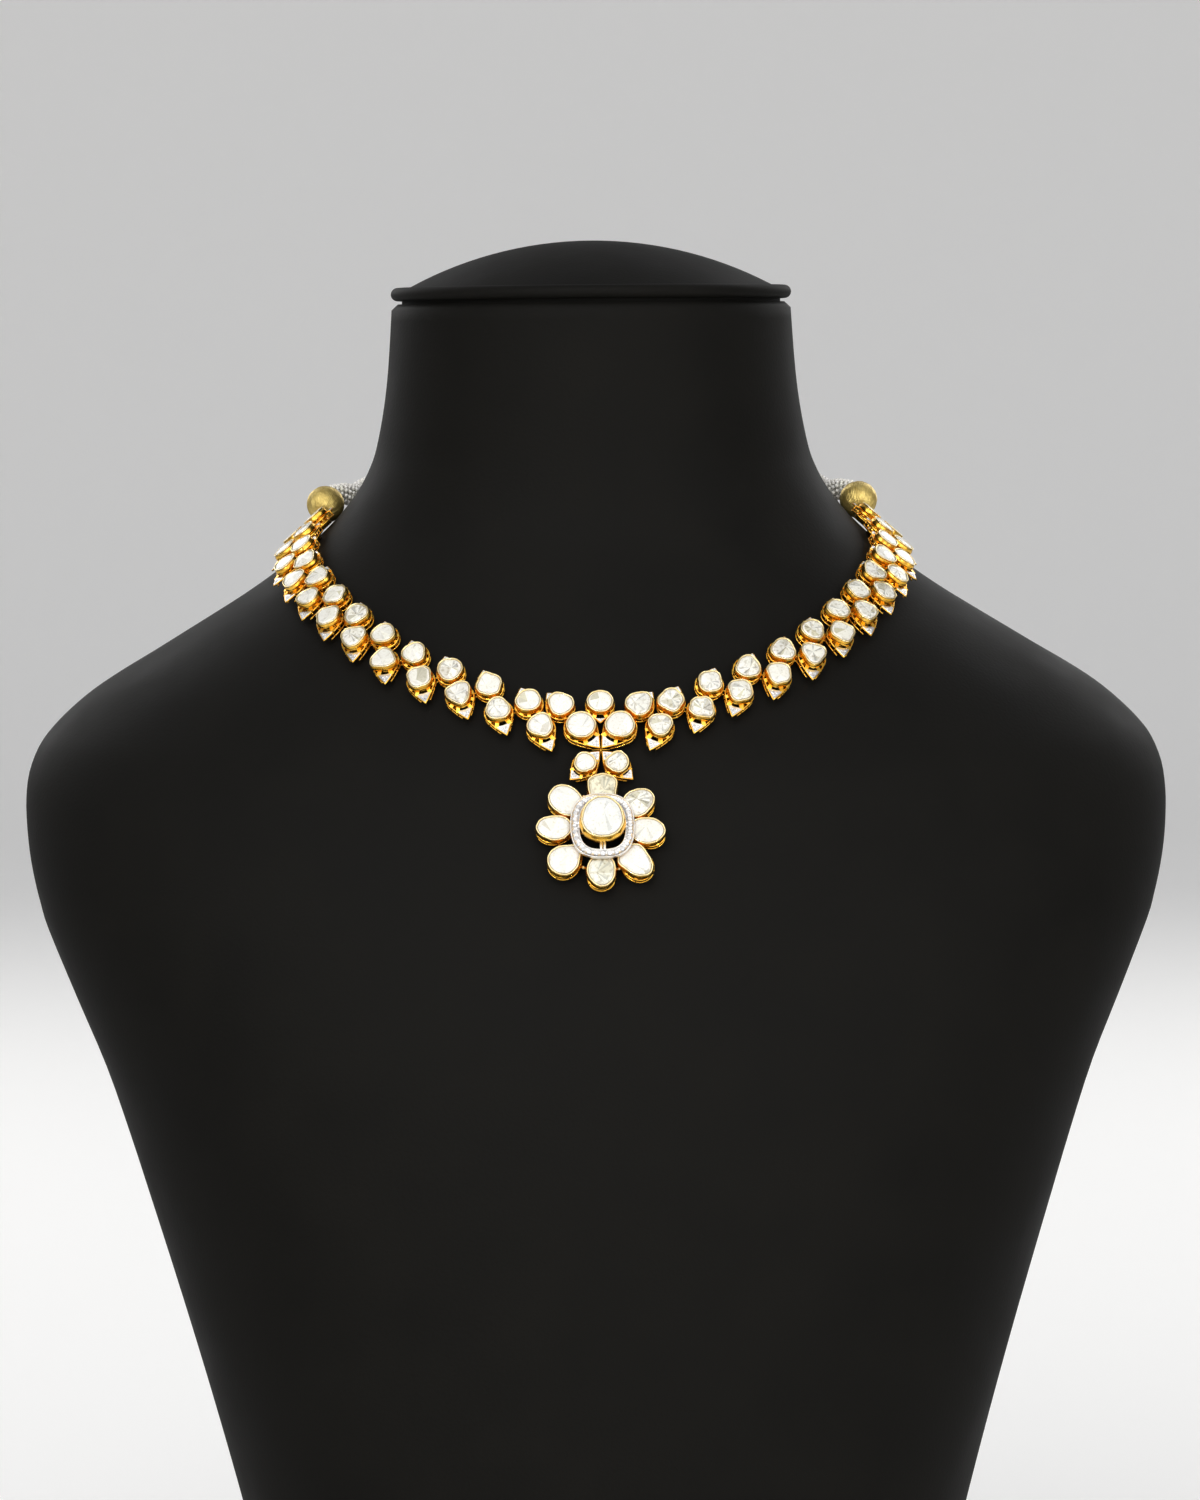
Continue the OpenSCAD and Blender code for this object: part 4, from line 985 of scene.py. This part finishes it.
flower_seat = seat_at(RIGHT, flower_up, heart.w, flower_middle)
draw = random.Random(41)
bench, flower_melee = Bench(), Bench()
for i, petal in enumerate(petals):
    bench.seat = petal.seat
    length = max(x for x, _ in petal.edge) - min(x for x, _ in petal.edge)
    width = max(y for _, y in petal.edge) - min(y for _, y in petal.edge)
    rail = [((length / 2 + 0.22) * math.cos(t),
             (width / 2 + 0.22) * math.sin(t) * (1 + 0.1 * math.cos(t)))
            for t in all_round(44)]
    bench.sweep(rail, ring_profile(RAIL, UPPER_RAIL))
    bench.sweep(rail, ring_profile(RAIL * 0.92, LOWER_RAIL))
    make_foot(bench, FOOT_R, FOOT_TOP)
    make_cup(bench, petal.edge, CUP_WALL, 50 + i)
    for degrees in (20, 62, 104, 146, 188, 230, 272, 314):
        make_tab(bench, petal.edge, rail, math.radians(degrees), 0.45)
        make_post(bench, rail, math.radians(degrees))
bench.seat = Matrix.Scale(MM, 4)
for a, b in zip(petals, petals[1:] + petals[:1]):
    way = (b.centre - a.centre).normalized()
    lift = -(STONE_BACK - UPPER_RAIL) * MM * a.w
    middle = (a.centre + b.centre) / 2 + lift
    bench.rod((middle - 1.0 * MM * way) / MM, (middle + 1.0 * MM * way) / MM, 0.3, 10)
    # The bead takes the lips' paler gold, a painted highlight.
    bench.ball(middle / MM, 0.46, HIGHLIGHT_GOLD)
bench.seat = flower_melee.seat = flower_seat
circle = [(GALLERY * math.cos(t), GALLERY * math.sin(t)) for t in all_round(60)]
bench.sweep(circle, ring_profile(0.38, LOWER_RAIL))
for a, b in zip(petals, petals[1:] + petals[:1]):
    out = (a.centre + b.centre) / 2 - flower_middle
    angle = math.atan2(out.dot(flower_up), out.dot(RIGHT))
    x, y = GALLERY * math.cos(angle), GALLERY * math.sin(angle)
    bench.rod((x, y, LOWER_RAIL), (x, y, HALO_LOW + 0.3), 0.34, 10)

halo_path = [squared(2 * math.pi * k / 120, (HALO_W - HALO_BAND) / 2, (HALO_L - HALO_BAND) / 2)
             for k in range(120)]
half = HALO_BAND / 2
halo_profile = [(half - 0.06, HALO_LOW), (half, HALO_LOW + 0.3), (half, HALO_TOP - 0.30),
                (half - 0.10, HALO_TOP - 0.06), (half - 0.28, HALO_TOP - 0.10),
                (half - 0.34, HALO_TOP - 0.22)]
halo_profile += [(-d, z) for d, z in reversed(halo_profile)]
bench.sweep(halo_path, halo_profile, metal=lambda k: WALL if k in (0, 10, 11) else WHITE)
HALO_STONES = 28
for x, y, _ in even_loop(halo_path, HALO_STONES):
    radius = 0.70 + draw.uniform(-0.05, 0.05)
    make_melee(flower_melee, x, y, HALO_TOP - 0.16, radius, draw.uniform(0, 0.7), 0.55, draw)
for x, y, angle in even_loop(halo_path, 2 * HALO_STONES)[1::2]:
    for side in (-0.62, 0.62):
        bench.ball((x - side * math.sin(angle), y + side * math.cos(angle), HALO_TOP - 0.12), 0.17,
                   WHITE, 4, 6)

HEART_WALL = [(-0.20, 6.00), (0.36, 6.60), (0.80, 7.50), (0.92, 8.30), (0.74, 9.20), (0.32, 10.08),
              (0.22, 10.24), (0.33, 10.30), (0.40, 10.43), (0.38, 10.56), (0.25, 10.65), (0.10, 10.62),
              (-0.03, 10.42)]
bench.seat = heart.seat
make_cup(bench, heart.edge, HEART_WALL, 61)
make_foot(bench, 3.1, 6.2)
bench.seat = flower_seat
for turn in range(4):
    angle = math.pi / 2 * turn
    ux, uy = math.cos(angle), math.sin(angle)
    far = reach(halo_path, angle) - 0.7
    for side in (-0.46, 0.46):
        corners = [(3.8, side - 0.27), (far, side - 0.27), (far, side + 0.27), (3.8, side + 0.27)]
        ring = [(d * ux - s * uy, d * uy + s * ux) for d, s in corners]
        bench.block([(x, y, 6.15) for x, y in ring], [(x, y, 6.95) for x, y in ring], WHITE)
for turn in range(2):
    angle = math.pi / 2 * turn
    ux, uy = GALLERY * math.cos(angle), GALLERY * math.sin(angle)
    bench.rod((-ux, -uy, LOWER_RAIL), (ux, uy, LOWER_RAIL), 0.25, 8)
bench.done("gold_flower", GOLDS, "gold", "flower_setting")
flower_melee.done("melee_flower", [melee], "polki")
print("flower made with", HALO_STONES, "halo diamonds")

# %% [markdown]
# Polki are flat-ground diamonds, milky and bright, with broad shallow facets that never quite
# match. Each stone has a painted shade line at its lip, where the cup would shade it, and its hidden
# back carries the same painted shade. Above that come a ring of small facets and an uneven table
# split into wedges with a few fine streaks. Every facet gets its own tone: mostly white, now and
# then grey or straw where the foil behind shows through.

# %% Polki stones
def tone_of(draw, busy, tint=(1, 1, 1)):
    if draw.random() < 0.10 * busy:
        v = draw.uniform(0.55, 0.78)
        return (v * tint[0], v * 0.96 * tint[1], v * draw.uniform(0.74, 0.90) * tint[2])
    v = 1 - 0.08 * (1 + busy) * draw.random() ** 1.4
    return (v * tint[0], v * draw.uniform(0.99, 1.0) * tint[1], v * draw.uniform(0.96, 1.0) * tint[2])


def make_polki(bench, stone, girdle, seed, busy=1.0, height=0.36, tint=(1, 1, 1), material=0):
    """A milky stone: a painted shade line at the lip, a ring of small facets, a table of wedges and
    streaks.
    """
    draw = random.Random(seed)
    bench.seat = stone.seat
    edge, n = stone.edge, 12
    count, step = len(edge), len(edge) // n
    half = step // 2
    # Painted shade: the thin ring at the lip and the stone's hidden back are darkened as if the cup
    # shaded them.
    painted_lip_shade = (0.42, 0.37, 0.30)
    back = [bench.point(x * 0.93, y * 0.93, girdle - 0.9) for x, y in edge]
    rim = [bench.point(x * 0.995, y * 0.995, girdle) for x, y in edge]
    size = sum(math.hypot(x, y) for x, y in edge) / count
    line = [bench.point(x * (1 - 0.2 / size), y * (1 - 0.2 / size), girdle + 0.05) for x, y in edge]
    for i in range(count):
        j = (i + 1) % count
        bench.face([back[i], back[j], rim[j], rim[i]], material, tone=painted_lip_shade)
        bench.face([rim[i], rim[j], line[j], line[i]], material, tone=painted_lip_shade)
    bench.face(list(reversed(back)), material, tone=painted_lip_shade)
    inward = [draw.uniform(0.74, 0.86) for _ in range(n)]
    rise = [height * draw.uniform(0.72, 0.92) for _ in range(n)]
    bevel = []
    for k in range(2 * n):
        i, between = divmod(k, 2)
        x, y = edge[(i * step + half * (1 + between)) % count]
        j = (i + between) % n
        f, z = (inward[i] + inward[j]) / 2, (rise[i] + rise[j]) / 2
        bevel.append(bench.point(x * f, y * f, girdle + z))
    for i in range(n):
        tone = tone_of(draw, busy * 0.7, tint)
        a, b, c = bevel[2 * i], bevel[2 * i + 1], bevel[(2 * i + 2) % (2 * n)]
        arc = [line[(i * step + half + k) % count] for k in range(step + 1)]
        for k in range(half):
            bench.face([a, arc[k], arc[k + 1]], material, tone=tone)
        bench.face([a, arc[half], b], material, tone=tone)
        bench.face([b, arc[half], c], material, tone=tone)
        for k in range(half, step):
            bench.face([c, arc[k], arc[k + 1]], material, tone=tone)
    peak = bench.point(draw.uniform(-0.35, 0.35) * size, draw.uniform(-0.35, 0.35) * size,
                       girdle + height * 1.08)
    streaks = set(draw.sample(range(2 * n), 1 + round(1.6 * busy)))
    cuts = sorted(draw.sample(range(2 * n), 6 if busy < 1 else 9))
    for a, b in zip(cuts, cuts[1:] + [cuts[0] + 2 * n]):
        tone = tone_of(draw, busy, tint)
        for i in range(a, b):
            dark = draw.uniform(0.55, 0.75) + 0.2 * (busy < 1) if i % (2 * n) in streaks else 1.0
            bench.face([peak, bevel[i % (2 * n)], bevel[(i + 1) % (2 * n)]], material,
                       tone=(tone[0] * dark, tone[1] * dark, tone[2] * dark * 0.97))


GIRDLE, HEART_GIRDLE = 4.80, 10.42
POLKIS = [polki, veined_polki]
bench_of = {}
for number, node in enumerate(sorted(links)):
    name = "left" if "left" in node else "right"
    for part, stone in zip(("upper", "lower"), links[node]):
        key = f"{name}_{part}"
        bench = bench_of.setdefault(key, Bench())
        seed = 400 + 2 * number + (part == "lower")
        veined = random.Random(seed).random() < (0.25 if name == "left" else 0.75)
        make_polki(bench, stone, GIRDLE, seed, 1.8 if veined else 0.6, material=int(veined))
for key, bench in bench_of.items():
    bench.done(f"stones_{key}", POLKIS, "polki", f"polki_{key}")
SINGLE = {"crown": crown, "crest_left": crest_sides["left"], "crest_right": crest_sides["right"],
          "outer_left": crest_outers["left"], "outer_right": crest_outers["right"],
          "leaf_left": leaves["left"], "leaf_right": leaves["right"]}
SINGLE.update({f"petal_{i + 1}": p for i, p in enumerate(petals)})
BUSY = {"outer_right": 2.2, "leaf_right": 1.5, "petal_1": 3.0, "petal_2": 1.8, "petal_5": 1.6}
TINTS = {"petal_1": (0.98, 0.94, 0.76), "petal_5": (0.96, 0.97, 0.90)}
for number, (key, stone) in enumerate(SINGLE.items()):
    bench = Bench()
    make_polki(bench, stone, GIRDLE, 500 + number, BUSY.get(key, 0.5), tint=TINTS.get(key, (1, 1, 1)),
               material=int(key in BUSY))
    bench.done(f"stone_{key}", POLKIS, "polki", f"polki_{key}")
bench = Bench()
make_polki(bench, heart, HEART_GIRDLE, 520, 0.5, 0.5, tint=(0.96, 0.985, 1.03))
bench.done("stone_heart", POLKIS, "polki", "polki_heart")
print("polki made:", 2 * len(links) + len(SINGLE) + 1)

# %% [markdown]
# At each end of the chain the cord runs through a bead wound with gold thread. The threads pass
# from hole to hole over the bead like lines of longitude, each a fine rounded ridge, so the
# bead is a ball whose radius rises and falls with the turn about its axis.

# %% Thread-wound beads
BEAD_R = 5.25
BEAD_WAY = (-0.20009, 0.683299, 0.702187)
THREADS = 64


def make_wound_bead(name, sign):
    node = f"zari_bead_{name}"
    low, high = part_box(node)
    middle = (Vector(low) + Vector(high)) / 2
    axis = Vector((BEAD_WAY[0] * sign, *BEAD_WAY[1:])).normalized()
    side = axis.orthogonal().normalized()
    bench = Bench(seat_at(side, axis.cross(side), axis, middle))
    draw = random.Random(71)
    lay = [draw.uniform(-0.05, 0.05) for _ in range(THREADS)]
    rows, per, rings = [], 4, 30
    for i in range(rings + 1):
        a = math.radians(11) + (math.pi - math.radians(22)) * i / rings
        row = []
        for k in range(THREADS * per):
            thread, part = divmod(k, per)
            turn = 2 * math.pi * (k / (THREADS * per)) + 0.22 * math.cos(a)
            ridge = 0.15 * math.sin(math.pi * (part + 0.5) / per) * math.sin(a)
            r = BEAD_R - 0.22 + ridge + lay[thread]
            row.append(bench.point(r * math.sin(a) * math.cos(turn), r * math.sin(a) * math.sin(turn),
                                   r * math.cos(a)))
        rows.append(row)
    bench.skin(rows, True, False)
    for row, z in ((rows[0], 1), (rows[-1], -1)):
        hole = [bench.point(0.86 * math.cos(t), 0.86 * math.sin(t), z * (BEAD_R - 0.75))
                for t in all_round(len(row))]
        bench.skin([row, hole], True, False)
        deep = [bench.point(0.84 * math.cos(t), 0.84 * math.sin(t), 0.0)
                for t in all_round(len(row))]
        bench.skin([hole, deep], True, False)
    return bench.done(f"thread_bead_{name}", [thread_gold], "gold_thread", node)


for name, sign in SIDES.items():
    make_wound_bead(name, sign)
print("thread-wound beads made with", THREADS, "threads each")

# %% [markdown]
# Behind the neck the chain gives way to ropes of seed pearls: many strands twisted together,
# each pearl a little over a millimetre and none quite round. The strands follow the route that
# the CAD rope takes, gathered at both ends where they pass into the bead and the clasp.

# %% Ropes of seed pearls
ROUTE = [(72.625, 81.535, 344.073), (66.582, 87.427, 342.589), (63.278, 92.117, 344.114),
         (59.882, 96.821, 345.463), (56.239, 101.495, 346.432), (52.274, 105.974, 347.168),
         (47.966, 110.178, 347.735), (43.324, 114.041, 348.176), (38.370, 117.513, 348.538),
         (33.135, 120.554, 348.870), (27.657, 123.144, 349.150), (21.975, 125.267, 349.321),
         (16.130, 126.899, 349.427), (10.166, 128.024, 349.516), (6.650, 128.745, 349.762)]
PEARL_STEP, PEARL_R = 1.24, 0.61
STRANDS = [(2.50, 12), (1.27, 6)]
UNIT_RINGS, UNIT_SIDES = 6, 8


def along_route(count):
    """Even points on the smoothed route, with the way it runs."""
    fine = []
    for i in range(len(ROUTE) - 1):
        p = [Vector(ROUTE[min(max(i + k, 0), len(ROUTE) - 1)]) for k in (-1, 0, 1, 2)]
        fine += [curve_point(*p, s / 10) for s in range(10)]
    fine.append(Vector(ROUTE[-1]))
    lengths = [0.0]
    for a, b in zip(fine, fine[1:]):
        lengths.append(lengths[-1] + (b - a).length)
    made, i = [], 0
    for k in range(count):
        want = lengths[-1] * (k + 0.5) / count
        while lengths[i + 1] < want:
            i += 1
        t = (want - lengths[i]) / (lengths[i + 1] - lengths[i])
        made.append((fine[i].lerp(fine[i + 1], t), (fine[i + 1] - fine[i]).normalized(),
                     want / lengths[-1]))
    return made, lengths[-1]


def make_pearl_rope(name, sign):
    draw = random.Random(81)
    _, length = along_route(2)
    count = int(length / PEARL_STEP)
    line, _ = along_route(count)
    bench = Bench()
    for radius, strands in STRANDS:
        for strand in range(strands):
            shift = draw.random()
            for k, (middle, way, t) in enumerate(line):
                gather = min(1.0, 0.35 + 0.65 * min(t, 1 - t) * length / 5.0)
                side = way.cross(Vector((0, 0, 1))).normalized()
                up = side.cross(way)
                a = 2 * math.pi * strand / strands + 5.5 * t + 0.12 * math.sin(9 * t + strand)
                r = radius * gather
                across = math.cos(a) * side + math.sin(a) * up
                spot = middle + r * across + way * (shift - 0.5) * PEARL_STEP
                size = PEARL_R * draw.uniform(0.90, 1.06)
                v = draw.uniform(0.92, 1.0)
                bench.ball((sign * spot.x, spot.y, spot.z), size, 0, UNIT_RINGS, UNIT_SIDES,
                           (v, v * draw.uniform(0.97, 1.0), v * draw.uniform(0.93, 1.0)))
    bench.done(f"pearls_{name}", [pearl], "pearl", f"pearl_rope_{name}")
    return count * sum(n for _, n in STRANDS)


for name, sign in SIDES.items():
    print("pearl rope", name, "has", make_pearl_rope(name, sign), "pearls")

# %% [markdown]
# The clasp is a turned barrel that screws together in the middle: rounded ends with a bead, two
# fine collars and a band of grooves for the fingers. It is a profile turned about its axis.

# %% Barrel clasp
def make_clasp():
    low, high = (Vector(c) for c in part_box("barrel_clasp"))
    middle, half_long = (low + high) / 2, (high.x - low.x) / 2 / MM
    radius = (high.z - low.z) / 2 / MM
    seat = Matrix([[0, 0, MM, middle.x], [MM, 0, 0, middle.y], [0, MM, 0, middle.z], [0, 0, 0, 1]])
    half_shape = [(0.0, radius * 0.86), (0.18, radius * 0.94)]
    for k in range(4):
        z = 0.45 + 0.42 * k
        half_shape += [(z, radius * 0.98), (z + 0.14, radius * 0.98), (z + 0.21, radius * 0.90),
                       (z + 0.35, radius * 0.90)]
    half_shape += [(2.2, radius * 0.90), (2.35, radius), (2.75, radius), (2.9, radius * 0.92),
                   (4.2, radius * 0.90),
                   (5.1, radius * 0.80), (5.6, radius * 0.62), (5.75, radius * 0.70),
                   (6.1, radius * 0.70),
                   (6.3, radius * 0.55), (half_long, radius * 0.40), (half_long, 0.35)]
    shape = [(-z, r) for z, r in reversed(half_shape)] + half_shape[1:]
    bench = Bench(seat)
    rows = [[bench.point(r * math.cos(t), r * math.sin(t), z) for t in all_round(40)]
            for z, r in shape]
    bench.skin(rows, True, False)
    bench.face(list(reversed(rows[0])))
    bench.face(rows[-1])
    made = bench.done("clasp", [gold], "gold", "barrel_clasp")
    print("clasp made,", round(2 * half_long, 1), "mm long")
    return made


make_clasp()

# %% [markdown]
# The bust is a hard form covered in stretched leatherette, so its skin is one even curve with no
# flats. The CAD solid has flat facets between its rings of points. The skin goes through the same
# points on smooth curves, round and up, and keeps the small bevels at the foot and the neck.

# %% Skin of the bust
ROUND_STEPS, UP_STEPS = 2, 3


def make_bust_skin():
    rings = {}
    for vertex in NODES["bust_form"].data.vertices:
        ring = rings.setdefault(round(vertex.co.z, 4), {})
        ring[tuple(round(c, 5) for c in vertex.co)] = vertex.co.copy()
    rows = []
    for level in sorted(rings):
        ring = list(rings[level].values())
        middle = sum(ring, Vector()) / len(ring)
        ring.sort(key=lambda c: math.atan2(c.y - middle.y, c.x - middle.x))
        first = max(range(len(ring)), key=lambda i: ring[i].x)
        rows.append([Vector(p) for p in smooth_loop(ring[first:] + ring[:first], ROUND_STEPS)])
    bench, made, last = Bench(Matrix.Identity(4)), [rows[0]], len(rows) - 1
    for i in range(1, last - 1):
        near = [rows[min(max(i + k, 1), last - 1)] for k in (-1, 0, 1, 2)]
        made += [[curve_point(*four, s / UP_STEPS) for four in zip(*near)] for s in range(UP_STEPS)]
    made += [rows[last - 1], rows[last]]
    grid = [[bench.point(*p) for p in row] for row in made]
    bench.skin(grid, True, False)
    bench.face(list(reversed(grid[0])))
    bench.face(grid[-1])
    bench.done("bust_skin", [leatherette], "leatherette", "bust_form")
    return len(rows), len(made)


print("bust skin: CAD rings and rings made", make_bust_skin())

# %% [markdown]
# The cap, the jump rings and the cord's eyes keep their CAD shapes. They only need the right
# finish: fine-grained leatherette, polished wire and twisted thread.

# %% Finishes for the CAD shapes that stay
for node, material in (("neck_cap", leatherette),
                       ("jump_rings_left", gold), ("jump_rings_right", gold), ("pendant_rings", gold),
                       ("end_loop_left", thread_gold), ("end_loop_right", thread_gold)):
    shown = NODES[node]
    for k in range(max(1, len(shown.material_slots))):
        if len(shown.data.materials) <= k:
            shown.data.materials.append(material)
        shown.material_slots[k].link = "OBJECT"
        shown.material_slots[k].material = material
print("CAD shapes finished")

# %% [markdown]
# Looks never change the size of the object. The last cell only updates the scene.

# %% Update the scene
bpy.context.view_layer.update()
